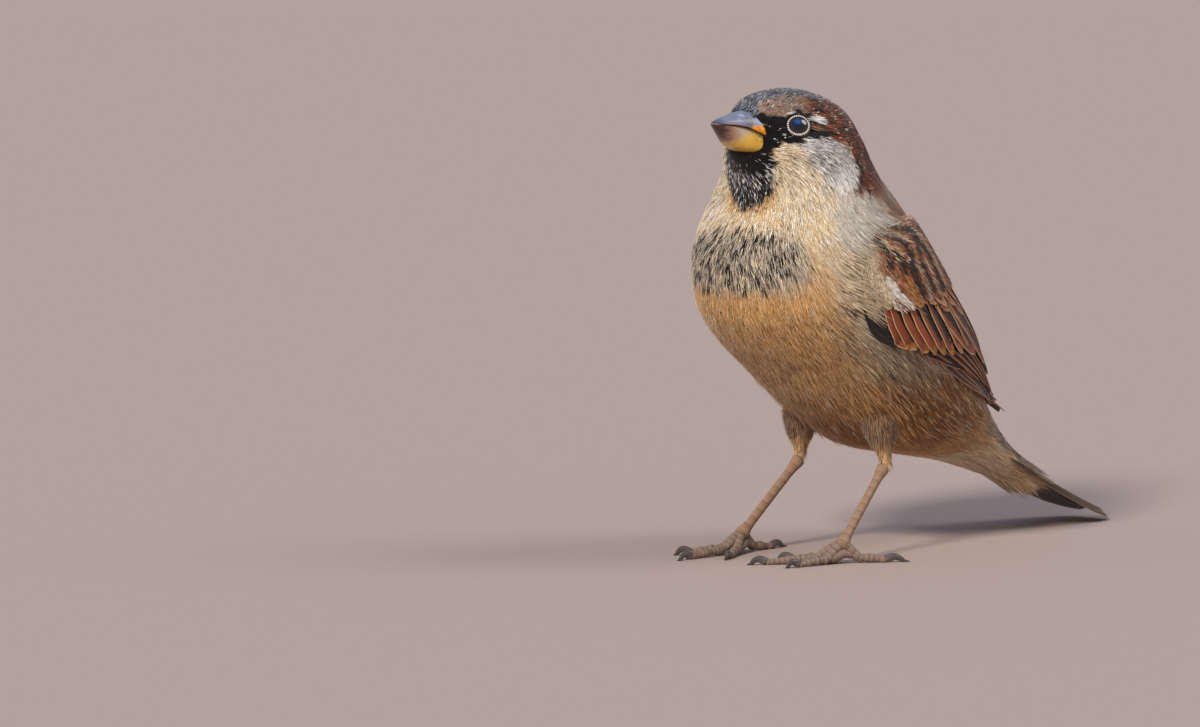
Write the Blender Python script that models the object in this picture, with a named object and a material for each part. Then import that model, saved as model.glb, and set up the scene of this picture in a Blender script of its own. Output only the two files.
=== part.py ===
"""A life-size male house sparrow, standing upright with its tail tip on the floor, as a still museum model.

The bird faces -Y, its left side is +X and +Z is up. Sizes are in millimetres and become metres where a
mesh is made. The body is one smooth form, laid through a few named slices, and parted by thin cuts.
"""

import math
from dataclasses import dataclass

import bmesh
import bpy
import numpy as np

MM = 0.001
GAP = 0.3  # left open between two pieces that touch
BIRD_BACK = 33.8  # how far the point between the feet lies in front of the model's origin

HEAD_CENTRE = (0.0, -6.4, 82.7)  # midway between the eyes
HEAD_PITCH = math.radians(15)  # the head is tipped up

EYE_RADIUS = 3.1
EYE_AT = (2.15, math.radians(73.5))  # where the eye opens: its slice position and angle
EYE_SUNK = 2.58  # how deep the eye's centre lies there

BILL_LENGTH = 12.6  # from the tip back into the feathers
BILL_TIP = (15.5, -3.85)  # forward of and above the head's centre
BILL_HALF_WIDTH = 4.7

TAIL_ROOT = (45.3, 22.9)  # back from the feet, and up
TAIL_LENGTH = 50.0
TAIL_BURIED = 5.0
TAIL_SLOPES = (math.radians(34), math.radians(19))  # at its root and at its tip
TAIL_ROLL = math.radians(7)
TAIL_HALF_WIDTHS = (4.4, 7.3)
TAIL_THICK = (2.6, 1.1)
TAIL_ARCH = 1.3
TAIL_NOTCH = 1.6

WING_TIP = (5.0, 55.9, 24.0)
WING_RAISED = 1.0  # its middle above the body's own outline
WING_SUNK = 1.3

TARSUS_RADIUS = 0.85
TOE_RADIUS = 0.85
FLOOR_FLAT = 0.12  # how far a pad is pressed flat where it meets the floor

AROUND = 24  # corners round the body


@dataclass(frozen=True)
class Slice:
    """One slice of the body, from its highest point on the back to its lowest on the front."""

    name: str
    back: tuple  # (y, z) on the bird's upper side
    front: tuple  # (y, z) on its lower side
    half_width: float
    low: float = 0.0  # above 0, the widest place lies nearer the front
    square: float = 2.0  # 2 is an ellipse, and more is fuller


SLICES = (
    Slice("face", (-13.5, 85.0), (-14.2, 77.5), 3.3, -0.25, 2.3),
    Slice("lores", (-10.4, 87.4), (-13.6, 74.6), 4.9, -0.1, 2.2),
    Slice("eye", (-4.0, 88.3), (-12.6, 71.9), 8.3, 0.04),
    Slice("crown", (2.2, 87.8), (-12.0, 68.5), 10.8, 0.0),
    Slice("ear", (8.8, 85.3), (-13.0, 65.2), 12.9, -0.02),
    Slice("nape", (13.1, 80.1), (-15.5, 61.8), 14.8, 0.02),
    Slice("neck", (16.2, 73.6), (-17.6, 58.0), 17.1),
    Slice("shoulder", (21.8, 66.5), (-17.8, 53.0), 19.3, 0.0, 2.1),
    Slice("breast", (27.3, 58.5), (-15.7, 46.4), 20.8, 0.0, 2.15),
    Slice("back", (33.6, 50.4), (-10.7, 40.4), 21.0, 0.0, 2.15),
    Slice("belly", (39.7, 42.2), (-3.6, 34.6), 20.2, 0.0, 2.1),
    Slice("hips", (45.0, 34.5), (5.7, 26.8), 17.9),
    Slice("rump", (49.2, 27.8), (17.0, 19.9), 14.7),
    Slice("vent", (53.0, 22.8), (30.0, 17.2), 11.3),
    Slice("coverts", (57.0, 19.2), (44.0, 14.6), 8.2),
    Slice("tail_base", (62.0, 15.6), (57.5, 10.6), 5.2),
)


def smooth_step(low, high, value):
    """0 below low, 1 above high, and smooth between."""
    t = np.clip((value - low) / (high - low), 0.0, 1.0)
    return t * t * (3.0 - 2.0 * t)


def through(values, at):
    """A smooth curve through evenly spaced values, read at a position counted in values."""
    values = np.asarray(values, float)
    last = len(values) - 1
    at = np.clip(np.asarray(at, float), 0.0, last)
    i = np.minimum(at.astype(int), last - 1)
    t = at - i
    before, a, b, after = (values[np.clip(i + k, 0, last)] for k in (-1, 0, 1, 2))
    if values.ndim > 1:
        t = t[..., None]
    slope_a, slope_b = (b - before) / 2.0, (after - a) / 2.0
    return (
        a * (2 * t**3 - 3 * t**2 + 1)
        + slope_a * (t**3 - 2 * t**2 + t)
        + b * (3 * t**2 - 2 * t**3)
        + slope_b * (t**3 - t**2)
    )


def body_raw(at, angle):
    """The body's outline at a slice position and an angle from the back, 0, round the left side to the front, pi."""
    at, angle = np.broadcast_arrays(np.asarray(at, float), np.asarray(angle, float))
    back = through([s.back for s in SLICES], at)
    front = through([s.front for s in SLICES], at)
    half_width = through([s.half_width for s in SLICES], at)
    low = through([s.low for s in SLICES], at)
    power = 2.0 / through([s.square for s in SLICES], at)
    along = np.sign(np.cos(angle)) * np.abs(np.cos(angle)) ** power
    aside = np.sign(np.sin(angle)) * np.abs(np.sin(angle)) ** power
    middle, reach = (back + front) / 2.0, (back - front) / 2.0
    flat = middle + along[..., None] * reach
    wide = half_width * aside * (1.0 - low * along)
    return np.stack([wide, flat[..., 0], flat[..., 1]], -1)


def body_point(at, angle, out=0.0):
    """A point of the body's outline, moved outwards by some millimetres."""
    at, angle, out = np.broadcast_arrays(
        np.asarray(at, float), np.asarray(angle, float), np.asarray(out, float)
    )
    step = 0.02
    along = body_raw(at + step, angle) - body_raw(at - step, angle)
    around = body_raw(at, angle + step) - body_raw(at, angle - step)
    normal = np.cross(around, along)
    normal /= np.maximum(np.linalg.norm(normal, axis=-1, keepdims=True), 1e-9)
    return body_raw(at, angle) + normal * out[..., None]


def head_point(forward, aside, up):
    """A place given from the point midway between the eyes, along the head's own directions."""
    forward, aside, up = np.broadcast_arrays(
        *(np.asarray(v, float) for v in (forward, aside, up))
    )
    c, s = math.cos(HEAD_PITCH), math.sin(HEAD_PITCH)
    x, y, z = HEAD_CENTRE
    return np.stack([x + aside, y - c * forward + s * up, z + s * forward + c * up], -1)


def material(name, colour, roughness, metallic=0.0):
    """A plain surface, made once for each name."""
    found = bpy.data.materials.get(name)
    if found is None:
        found = bpy.data.materials.new(name)
        found.use_nodes = True
        shader = found.node_tree.nodes["Principled BSDF"]
        shader.inputs["Base Color"].default_value = (*colour, 1.0)
        shader.inputs["Roughness"].default_value = roughness
        shader.inputs["Metallic"].default_value = metallic
        found.diffuse_color = (*colour, 1.0)
    return found


def plumage(name, colour):
    return material(name, colour, 0.8)


def new_object(name, points, faces, surface, smooth=True):
    """A closed mesh from points in millimetres, with its faces turned outwards."""
    mesh = bpy.data.meshes.new(name)
    placed = (np.asarray(points, float) - (0.0, BIRD_BACK, 0.0)) * MM
    mesh.from_pydata(placed.tolist(), [], faces)
    work = bmesh.new()
    work.from_mesh(mesh)
    bmesh.ops.remove_doubles(work, verts=work.verts, dist=1e-6)
    bmesh.ops.recalc_face_normals(work, faces=work.faces)
    work.to_mesh(mesh)
    work.free()
    mesh.materials.append(surface)
    if smooth:
        mesh.shade_smooth()
        mesh.set_sharp_from_angle(angle=math.radians(40))
    made = bpy.data.objects.new(name, mesh)
    bpy.context.scene.collection.objects.link(made)
    return made


def ring_faces(rings, around, closed_round=True):
    """Quads between neighbouring rings of points, numbered ring by ring."""
    faces = []
    for i in range(rings - 1):
        for j in range(around if closed_round else around - 1):
            k = (j + 1) % around
            a, b = i * around, (i + 1) * around
            faces.append((a + j, a + k, b + k, b + j))
    return faces


def tube(name, rings, surface, smooth=True):
    """A solid through closed rings of points, with a flat cap at each end."""
    rings = np.asarray(rings, float)
    count, around = rings.shape[:2]
    faces = ring_faces(count, around)
    faces.append(tuple(range(around)))
    faces.append(tuple((count - 1) * around + j for j in range(around)))
    return new_object(name, rings.reshape(-1, 3), faces, surface, smooth)


def slab(name, upper, lower, surface):
    """A solid between two sheets of points with the same layout, closed along their edges."""
    rows, columns = upper.shape[:2]
    size = rows * columns
    faces = ring_faces(rows, columns, closed_round=False)
    faces += [tuple(size + k for k in reversed(face)) for face in faces]
    rim = [j for j in range(columns)]
    rim += [i * columns + columns - 1 for i in range(1, rows)]
    rim += [(rows - 1) * columns + j for j in reversed(range(columns - 1))]
    rim += [i * columns for i in reversed(range(1, rows - 1))]
    for a, b in zip(rim, rim[1:] + rim[:1]):
        faces.append((a, b, size + b, size + a))
    points = np.concatenate([upper.reshape(-1, 3), lower.reshape(-1, 3)])
    return new_object(name, points, faces, surface)


def helper(made):
    """Marks a cutter, which isn't part of the model."""
    made.hide_render = True
    made.display_type = "WIRE"
    return made


def cut(made, cutter):
    """Takes the cutter's shape out of a piece."""
    boolean = made.modifiers.new("cut", "BOOLEAN")
    boolean.operation = "DIFFERENCE"
    boolean.solver = "EXACT"
    boolean.object = cutter


def body_piece(name, first, last, rings, surface, out=0.0):
    """The part of the body between two slice positions."""
    at = np.linspace(first, last, rings)[:, None]
    angles = np.linspace(0.0, 2 * math.pi, AROUND, endpoint=False)[None, :]
    return tube(name, body_point(at, angles, out), surface)


def bill_profile(back):
    """(ridge, cutting edge, keel, half width) of the bill, so far back from its tip, as heights in the head's frame."""
    tip_up = BILL_TIP[1]
    ridge = tip_up + 4.7 * np.clip(back / 9.4, 0.0, 1.4) ** 0.85
    edge = through([tip_up, -3.5, -3.2, -3.2, -3.6, -4.1, -4.3], back / 2.4)
    keel = tip_up - 0.1 - np.interp(back, [0.0, 5.2, 6.6, 9.0, 13.0], [0.0, 2.75, 3.15, 3.35, 3.2])
    half_width = BILL_HALF_WIDTH * np.clip(back / 10.5, 0.0, 1.1) ** 0.72
    return ridge, edge, keel, half_width


def bill_rings(upper, out=0.0, around=16, rings=8):
    """Rings of the upper or lower half of the bill, from its tip back into the face."""
    start = 0.05 if upper else 0.75
    made = []
    for step in np.linspace(0.0, 1.0, rings):
        back = start + (BILL_LENGTH - start) * step**1.3
        ridge, edge, keel, half_width = bill_profile(back)
        far = ridge if upper else keel
        seam = edge + (GAP / 2 if upper else -GAP / 2)
        height = max(abs(far - seam), 0.12)
        wide = max(half_width * (1.0 if upper else 0.93), 0.12)
        side = 1.0 if upper else -1.0
        angles = np.linspace(0.0, math.pi, around - 4)
        full = 1.0 if upper else 1.0 - 0.42 * min(back / 8.0, 1.0)  # the lower half is squarer towards the face
        aside = (wide + out) * np.sign(np.cos(angles)) * np.abs(np.cos(angles)) ** full
        up = seam + side * (height + out) * np.sin(angles) ** (0.9 * full)
        flat = np.linspace(-1.0, 1.0, 6)[1:-1] * (wide + out)
        aside = np.concatenate([aside, flat])
        up = np.concatenate([up, np.full(4, seam - side * out)])
        made.append(head_point(BILL_TIP[0] + (out if step == 0 else 0) - back, aside, up))
    return np.array(made)


def make_bill(head):
    """Two horny halves that meet along the cutting edge, set into the face."""
    horn = material("horn_grey", (0.33, 0.34, 0.38), 0.3)
    yellow = material("horn_yellow", (0.78, 0.55, 0.2), 0.35)
    tube("bill_upper", bill_rings(True), horn)
    tube("bill_lower", bill_rings(False), yellow)
    cut(head, helper(tube("bill_upper_cutter", bill_rings(True, GAP), horn)))
    cut(head, helper(tube("bill_lower_cutter", bill_rings(False, GAP), yellow)))


def ball_rings(centre, radius, around=12, rings=9):
    """Rings of a ball, pole to pole along the bird's sideways direction."""
    made = []
    for turn in np.linspace(0.06, math.pi - 0.06, rings):
        angles = np.linspace(0.0, 2 * math.pi, around, endpoint=False)
        reach = radius * math.sin(turn)
        ring = [np.full(around, radius * math.cos(turn)), reach * np.cos(angles), reach * np.sin(angles)]
        made.append(np.array(centre) + np.stack(ring, -1))
    return np.array(made)


def make_eyes(head):
    """Each eyeball in its own socket, just proud of the face."""
    dark = material("eye_dark", (0.02, 0.012, 0.01), 0.05)
    for side, sign in (("left", 1), ("right", -1)):
        centre = body_point(*EYE_AT, -EYE_SUNK) * (sign, 1.0, 1.0)
        tube(f"eye_{side}", ball_rings(centre, EYE_RADIUS), dark)
        cut(head, helper(tube(f"socket_{side}", ball_rings(centre, EYE_RADIUS + GAP), dark)))


def wing_sheet(sign, out, edge_out, grow=0.0):
    """One face of a folded wing: rows run from the shoulder to the tip and columns from the lower edge to the upper."""
    rows, columns, on_body = 17, 9, 12
    low_at = [6.9, 8.0, 8.9, 9.8, 10.8, 11.9]
    low_angle = np.radians([98, 110, 109, 92, 66, 44])
    high_at = [6.75, 7.3, 8.4, 9.6, 10.8, 12.0]
    high_angle = np.radians([80, 38, 30, 27, 25, 24])
    t = np.linspace(0.0, 1.0, on_body) * (len(low_at) - 1)
    q = np.linspace(0.0, 1.0, columns)[None, :]
    spread = grow / 18.0  # in radians, on a body this wide
    at = through(low_at, t)[:, None] * (1 - q) + through(high_at, t)[:, None] * q
    at[0] -= grow / 7.0  # a slice is about this deep
    angle = (through(low_angle, t)[:, None] + spread) * (1 - q)
    angle = angle + (through(high_angle, t)[:, None] - spread) * q
    crown = np.clip(4 * q * (1 - q), 0.0, 1.0) ** 0.5
    front = smooth_step(-0.2, 1.2, t)[:, None]
    lift = edge_out + (out - edge_out) * crown * front
    near = body_point(at, angle, lift)
    tip = np.array(WING_TIP) + (0.0, 0.7 * grow, -0.2 * grow)
    width = (q[0][:, None] - 0.5) * np.array([[-1.0, 0.3, 0.6]]) * (1.0 + grow)
    tip_row = tip + width + np.array([0.0, 0.5, 0.85]) * edge_out
    share = np.linspace(0.0, 1.0, rows - on_body + 1)[1:, None, None]
    taper = 1.0 - (1.0 - share) ** 1.25
    far = near[-1][None] * (1 - taper) + tip_row[None] * taper
    sheet = np.concatenate([near, far])
    return sheet * (sign, 1.0, 1.0)


def make_wings(cut_pieces):
    """Folded wings, thin along their edges, each lying in a shallow bed in the body."""
    chestnut = plumage("wing_chestnut", (0.23, 0.10, 0.045))
    for side, sign in (("left", 1), ("right", -1)):
        slab(
            f"wing_{side}",
            wing_sheet(sign, WING_RAISED, 0.3),
            wing_sheet(sign, -WING_SUNK, -0.3),
            chestnut,
        )
        cutter = slab(
            f"wing_bed_{side}",
            wing_sheet(sign, WING_RAISED + 2.5, 2.5, 2 * GAP),
            wing_sheet(sign, -WING_SUNK - GAP, -0.3 - 1.5 * GAP, 2 * GAP),
            chestnut,
        )
        for piece in cut_pieces:
            cut(piece, helper(cutter))


def tail_line(along):
    """(y, z, slope) on the tail's middle line, so far behind its root. It bends up to lie along the floor."""
    bend = (TAIL_SLOPES[1] - TAIL_SLOPES[0]) / TAIL_LENGTH
    slope = TAIL_SLOPES[0] + bend * along
    back = TAIL_ROOT[0] + (math.sin(slope) - math.sin(TAIL_SLOPES[0])) / bend
    up = TAIL_ROOT[1] + (math.cos(slope) - math.cos(TAIL_SLOPES[0])) / bend
    return back, up, slope


def tail_sheet(side, grow=0.0, rows=15, columns=9):
    """The upper (side 1) or lower (side -1) face of the folded tail."""
    across = np.linspace(-1.0, 1.0, columns)
    made = []
    for step in np.linspace(0.0, 1.0, rows):
        wide = np.interp(step, [0.0, 0.25, 0.8, 1.0], [TAIL_HALF_WIDTHS[0], 5.2, *([TAIL_HALF_WIDTHS[1]] * 2)])
        thick = TAIL_THICK[0] + (TAIL_THICK[1] - TAIL_THICK[0]) * step
        row = []
        for a in across:
            short = TAIL_NOTCH * (1.0 - abs(a)) * step
            along = -TAIL_BURIED - grow + (TAIL_LENGTH + TAIL_BURIED + 2 * grow) * step - short
            back, up, slope = tail_line(along)
            edge = 1.0 - 0.6 * abs(a) ** 2
            high = side * (thick / 2 * edge + grow) + TAIL_ARCH * (1 - a * a) - TAIL_ARCH / 2
            aside = a * (wide + grow)
            roll = TAIL_ROLL * step
            x = aside * math.cos(roll) + high * math.sin(roll)
            high = -aside * math.sin(roll) + high * math.cos(roll)
            row.append((x, back + high * math.sin(slope), up + high * math.cos(slope)))
        made.append(row)
    return np.array(made)


def on_floor(sheet):
    """The same points, with none of them below the floor."""
    sheet = np.array(sheet, float)
    sheet[..., 2] = np.maximum(sheet[..., 2], 0.0)
    return sheet


def make_tail(trunk):
    """A folded tail, set in a slot in the rump, whose tip lies on the floor."""
    brown = plumage("tail_brown", (0.16, 0.11, 0.075))
    upper, lower = tail_sheet(1), tail_sheet(-1)
    low = np.maximum(lower, (-1e9, -1e9, 0.0))
    high = upper.copy()
    high[..., 2] = np.maximum(upper[..., 2], low[..., 2] + 0.5)
    slab("tail", high, low, brown)
    cut(trunk, helper(slab("tail_slot", tail_sheet(1, GAP), tail_sheet(-1, GAP), brown)))


def limb(name, path, radii, surface, around=10, flat=1.0):
    """A round tapering rod along a path of points. flat below 1 presses it wider than it is deep."""
    path = np.array(path, float)
    ahead = np.gradient(path, axis=0)
    ahead /= np.linalg.norm(ahead, axis=1, keepdims=True)
    rings = []
    for centre, way, radius in zip(path, ahead, radii):
        level = np.cross(way, (0.0, 0.0, 1.0))
        if np.linalg.norm(level) < 1e-3:
            level = np.array([1.0, 0.0, 0.0])
        level /= np.linalg.norm(level)
        over = np.cross(level, way)
        angles = np.linspace(0.0, 2 * math.pi, around, endpoint=False)[:, None] - math.pi / 2
        ring = centre + radius * (np.cos(angles) * level + flat * np.sin(angles) * over)
        ring[:, 2] = np.maximum(ring[:, 2], 0.0)
        rings.append(ring)
    return tube(name, rings, surface)


@dataclass(frozen=True)
class Foot:
    """Where one foot stands: its hub, its heel and the way its middle toe points, in degrees to the bird's left."""

    side: str
    hub: tuple
    heel: tuple
    points: float


@dataclass(frozen=True)
class Toe:
    """One toe, with its claw: its angle from the foot's own line, where it starts, its length and its claw's."""

    name: str
    angle: float
    start: float
    length: float
    claw: float


FEET = (
    Foot("left", (12.5, 0.5, 3.5), (10.5, 14.5, 16.6), -38.0),
    Foot("right", (-12.5, 0.5, 3.5), (-10.5, 14.5, 16.6), 0.0),
)
TOES = (
    Toe("inner", -28.0, 4.4, 10.2, 4.4),
    Toe("middle", 0.0, 3.4, 14.8, 5.0),
    Toe("outer", 28.0, 4.4, 10.8, 4.4),
    Toe("hind", 180.0, 2.9, 8.6, 6.4),
)


def toe_path(foot, toe, along):
    """A point on a toe's middle line: it comes down off the hub, then runs level with a pad at each joint."""
    sign = 1.0 if foot.side == "left" else -1.0
    turn = math.radians(foot.points + sign * toe.angle)
    way = np.array([math.sin(turn), -math.cos(turn)])
    share = np.clip(along / toe.length, 0.0, 1.0)
    fall = 1.0 - smooth_step(0.0, 0.42, share)
    rest = TOE_RADIUS * (1.0 - 0.28 * share) - FLOOR_FLAT
    up = rest + (foot.hub[2] - rest) * fall
    up = up + 0.35 * math.sin(math.pi * share) ** 2
    flat = np.array(foot.hub[:2]) + way * along
    return np.array([flat[0], flat[1], up])


def make_toe(foot, toe):
    """A toe of padded joints and its hooked claw, which touch the floor."""
    scale = material("scaly_skin", (0.42, 0.29, 0.22), 0.55)
    claw_horn = material("claw_horn", (0.10, 0.08, 0.07), 0.35)
    steps = np.linspace(toe.start, toe.length, 9)
    share = (steps - toe.start) / (toe.length - toe.start)
    joints = 2 if toe.length < 9 else 3
    swell = 1.0 + 0.13 * np.cos(2 * math.pi * (joints * share + 0.15))
    radii = TOE_RADIUS * (1.0 - 0.28 * share) * swell
    path = [toe_path(foot, toe, s) for s in steps]
    limb(f"toe_{toe.name}_{foot.side}", path, radii, scale)
    way = path[-1] - path[-2]
    way[2] = 0.0
    way /= np.linalg.norm(way)
    root = path[-1] + way * (GAP + 0.1)
    hook = []
    widths = []
    for share in np.linspace(0.0, 1.0, 7):
        bend = share * 1.35
        ahead = toe.claw * 0.72 * math.sin(bend)
        down = toe.claw * 0.62 * (1.0 - math.cos(bend))
        arch = 0.9 * math.sin(math.pi * min(share * 1.1, 1.0))
        high = root[2] + 0.1 + arch - down
        hook.append((root[0] + way[0] * ahead, root[1] + way[1] * ahead, max(high, 0.12)))
        widths.append(0.62 * (1.0 - share) ** 0.8 + 0.1)
    limb(f"claw_{toe.name}_{foot.side}", hook, widths, claw_horn, around=8)


def make_leg(foot, trunk_grown):
    """The bare lower leg, and the feathered thigh that comes out of the belly."""
    scale = material("scaly_skin", (0.42, 0.29, 0.22), 0.55)
    fawn = plumage("belly_fawn", (0.56, 0.46, 0.34))
    hub, heel = np.array(foot.hub), np.array(foot.heel)
    share = np.linspace(0.0, 1.0, 9)[:, None]
    path = hub * (1 - share) + heel * share
    t = share[:, 0]
    radii = TARSUS_RADIUS * (1.0 + 0.62 * np.exp(-((t / 0.09) ** 2)) + 0.5 * np.exp(-(((1 - t) / 0.1) ** 2)))
    limb(f"tarsus_{foot.side}", path, radii, scale, flat=1.15)
    sign = 1.0 if foot.side == "left" else -1.0
    turn = math.radians(foot.points)
    way = np.array([math.sin(turn), -math.cos(turn), 0.0])
    centre = hub * (1.0, 1.0, 0.0)
    steps = np.array([-1.7, -1.3, -0.3, 1.0, 2.2, 3.0])
    heights = np.array([1.3, 1.3, 1.25, 1.15, 1.05, 0.95])
    path = [centre + way * s + (0.0, 0.0, h) for s, h in zip(steps, heights)]
    limb(f"palm_{foot.side}", path, [0.9, 1.3, 1.6, 2.1, 2.5, 2.4], scale, flat=0.55)
    lift = np.array([0.0, 0.2, 1.0])
    knee = np.array([sign * 8.6, 13.0, 33.0])
    foot_end = heel + lift * (TARSUS_RADIUS * 1.5 + GAP + 0.55)
    share = np.linspace(0.0, 1.0, 9)[:, None]
    path = foot_end * (1 - share) + knee * share
    radii = np.interp(share[:, 0], [0.0, 0.14, 0.28, 0.5, 1.0], [1.2, 2.2, 3.2, 4.2, 5.2])
    thigh = limb(f"thigh_{foot.side}", path, radii, fawn, around=16)
    cut(thigh, trunk_grown)


def build():
    """Makes every piece of the bird."""
    head = body_piece("head", 0.0, 4.6, 15, plumage("crown_grey", (0.30, 0.29, 0.29)))
    neck = body_piece("neck", 4.64, 6.4, 6, plumage("cheek_white", (0.66, 0.62, 0.56)))
    trunk = body_piece("trunk", 6.44, 15.0, 26, plumage("belly_fawn", (0.56, 0.46, 0.34)))
    make_bill(head)
    make_eyes(head)
    make_wings([neck, trunk])
    make_tail(trunk)
    grown = helper(body_piece("body_grown", 7.0, 14.6, 40, plumage("belly_fawn", (0.56, 0.46, 0.34)), GAP))
    for foot in FEET:
        make_leg(foot, grown)
        for toe in TOES:
            make_toe(foot, toe)


for old in list(bpy.data.objects):
    bpy.data.objects.remove(old)
build()
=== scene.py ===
"""A life-size male house sparrow: skin, coat of feather tufts, wing and tail vanes, bill, eyes and scaly legs.

The bird faces -Y, its left side is +X and +Z is up. Sizes are in millimetres, measured from the floor point
between its feet, and become metres in the row frame where a mesh is made.
"""

import logging
import math
from dataclasses import dataclass, field, replace
from enum import Enum

import bmesh
import bpy
import numpy as np
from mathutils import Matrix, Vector
from mathutils.kdtree import KDTree


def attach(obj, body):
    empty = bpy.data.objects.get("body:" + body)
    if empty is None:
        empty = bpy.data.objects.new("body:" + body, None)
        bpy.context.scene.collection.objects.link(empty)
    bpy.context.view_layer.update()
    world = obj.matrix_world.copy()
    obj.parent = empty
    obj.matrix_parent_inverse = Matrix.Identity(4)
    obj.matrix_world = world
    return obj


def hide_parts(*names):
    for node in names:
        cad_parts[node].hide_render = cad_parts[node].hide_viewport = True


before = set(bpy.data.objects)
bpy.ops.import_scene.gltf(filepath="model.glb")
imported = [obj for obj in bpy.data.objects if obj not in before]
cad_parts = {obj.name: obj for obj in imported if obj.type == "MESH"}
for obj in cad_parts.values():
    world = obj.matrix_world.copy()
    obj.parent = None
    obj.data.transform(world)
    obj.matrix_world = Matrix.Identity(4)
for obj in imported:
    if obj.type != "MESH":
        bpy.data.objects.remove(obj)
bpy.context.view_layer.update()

MM = 0.001
BIRD_BACK = 33.8  # how far the point between the feet lies in front of the row's origin
PATCH = 0.003  # across one tuft's place on the coat's map
LOG = logging.getLogger("sparrow")
Array = np.ndarray
Piece, Finish, Socket = bpy.types.Object, bpy.types.Material, bpy.types.NodeSocket
Pair, Place = tuple[float, float], tuple[float, float, float]


# ---- small helpers


def linear(red: float, green: float, blue: float) -> Array:
    """A colour given in display values from 0 to 255, as the linear values that shaders use."""
    c = np.array([red, green, blue], float) / 255.0
    return np.where(c <= 0.04045, c / 12.92, ((c + 0.055) / 1.055) ** 2.4)


def ramp(low: float, high: float, value: Array) -> Array:
    """0 below low, 1 above high, and smooth between."""
    t = np.clip((value - low) / (high - low), 0.0, 1.0)
    return t * t * (3.0 - 2.0 * t)


def below(limit: Array, soft: float, value: Array) -> Array:
    """1 where the value is under the limit, turning to 0 over this much."""
    return 1.0 - ramp(limit - soft / 2, limit + soft / 2, value)


def through(values: Array, at: Array) -> Array:
    """A smooth curve through evenly spaced values.

    Args:
        values: One number or vector for each whole position.
        at: Where to read it, counted in values.

    Returns:
        The curve's value at each position.
    """
    values = np.asarray(values, float)
    last = len(values) - 1
    at = np.clip(np.asarray(at, float), 0.0, last)
    i = np.minimum(at.astype(int), last - 1)
    t = at - i
    before, a, b, after = (values[np.clip(i + k, 0, last)] for k in (-1, 0, 1, 2))
    if values.ndim > 1:
        t = t[..., None]
    slope_a, slope_b = (b - before) / 2.0, (after - a) / 2.0
    return (
        a * (2 * t**3 - 3 * t**2 + 1)
        + slope_a * (t**3 - 2 * t**2 + t)
        + b * (3 * t**2 - 2 * t**3)
        + slope_b * (t**3 - t**2)
    )


def unit(vectors: Array) -> Array:
    """Vectors of length 1."""
    return vectors / np.maximum(np.linalg.norm(vectors, axis=-1, keepdims=True), 1e-9)


def blend(a: Array, b: Array, share: Array) -> Array:
    """Colour a turning into colour b."""
    share = np.asarray(share)[..., None]
    return a * (1.0 - share) + b * share


def turned(angle: Array) -> Array:
    """An angle brought to between -pi and pi."""
    return (angle + math.pi) % (2 * math.pi) - math.pi


def from_back(angle: Array) -> Array:
    """How far round from the back an angle is, in degrees: 0 on the back, 180 on the front."""
    return np.degrees(np.abs(turned(angle)))


def from_side(azimuth: float, elevation: float) -> Vector:
    """The way from the bird to a camera or light, both angles in degrees."""
    az, el = math.radians(azimuth), math.radians(elevation)
    return Vector((math.sin(az) * math.cos(el), -math.cos(az) * math.cos(el), math.sin(el)))


def sided(points: Array, mirror: bool) -> Array:
    """Points of the bird's left as they are, or mirrored to its right."""
    return points * ((-1.0 if mirror else 1.0), 1.0, 1.0)


def tree_of(points: Array) -> KDTree:
    """A tree that finds the nearest of some points."""
    tree = KDTree(len(points))
    for i, p in enumerate(points):
        tree.insert(p, i)
    tree.balance()
    return tree


def noise(points: Array, size: float, seed: int) -> Array:
    """Smooth noise from -1 to 1 that changes over about this many millimetres.

    Args:
        points: Places in millimetres.
        size: How far apart its lumps are.
        seed: Which noise.

    Returns:
        One value for each point.
    """
    cell = points / size + seed * 17.31
    low = np.floor(cell).astype(np.int64)
    t = cell - low
    t = t * t * (3 - 2 * t)
    total = np.zeros(points.shape[:-1])
    for corner in range(8):
        step = np.array([corner & 1, corner >> 1 & 1, corner >> 2 & 1])
        key = (low + step) @ np.array([73856093, 19349663, 83492791]) + seed * 7919
        key = (key ^ (key >> 13)) * 1274126177 & 0x7FFFFFFF
        value = (key % 20011) / 10005.0 - 1.0
        weight = np.prod(np.where(step == 1, t, 1 - t), axis=-1)
        total += value * weight
    return total


# ---- meshes


def show(made: Piece) -> Piece:
    """Adds an object to the scene."""
    bpy.context.scene.collection.objects.link(made)
    return made


def settle(made: Piece, slot: str, *replaced: str) -> Piece:
    """Gives a piece its body, in place of the solids named."""
    if replaced:
        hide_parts(*replaced)
    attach(made, "root")
    return made


def new_object(name: str, points: Array, faces: list, finish: Finish, smooth: bool = True) -> Piece:
    """A piece from points in millimetres.

    Args:
        name: The piece's name.
        points: Its vertices.
        faces: Its faces.
        finish: Its material.
        smooth: Whether it is shaded smooth.

    Returns:
        The piece, at the origin.
    """
    mesh = bpy.data.meshes.new(name)
    placed = (np.asarray(points, float) - (0.0, BIRD_BACK, 0.0)) * MM
    mesh.from_pydata(placed.tolist(), [], faces)
    mesh.materials.append(finish)
    if smooth:
        mesh.shade_smooth()
    return show(bpy.data.objects.new(name, mesh))


def outwards(made: Piece) -> Piece:
    """Turns every shell's faces outwards."""
    work = bmesh.new()
    work.from_mesh(made.data)
    bmesh.ops.recalc_face_normals(work, faces=work.faces)
    work.to_mesh(made.data)
    work.free()
    return made


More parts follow.
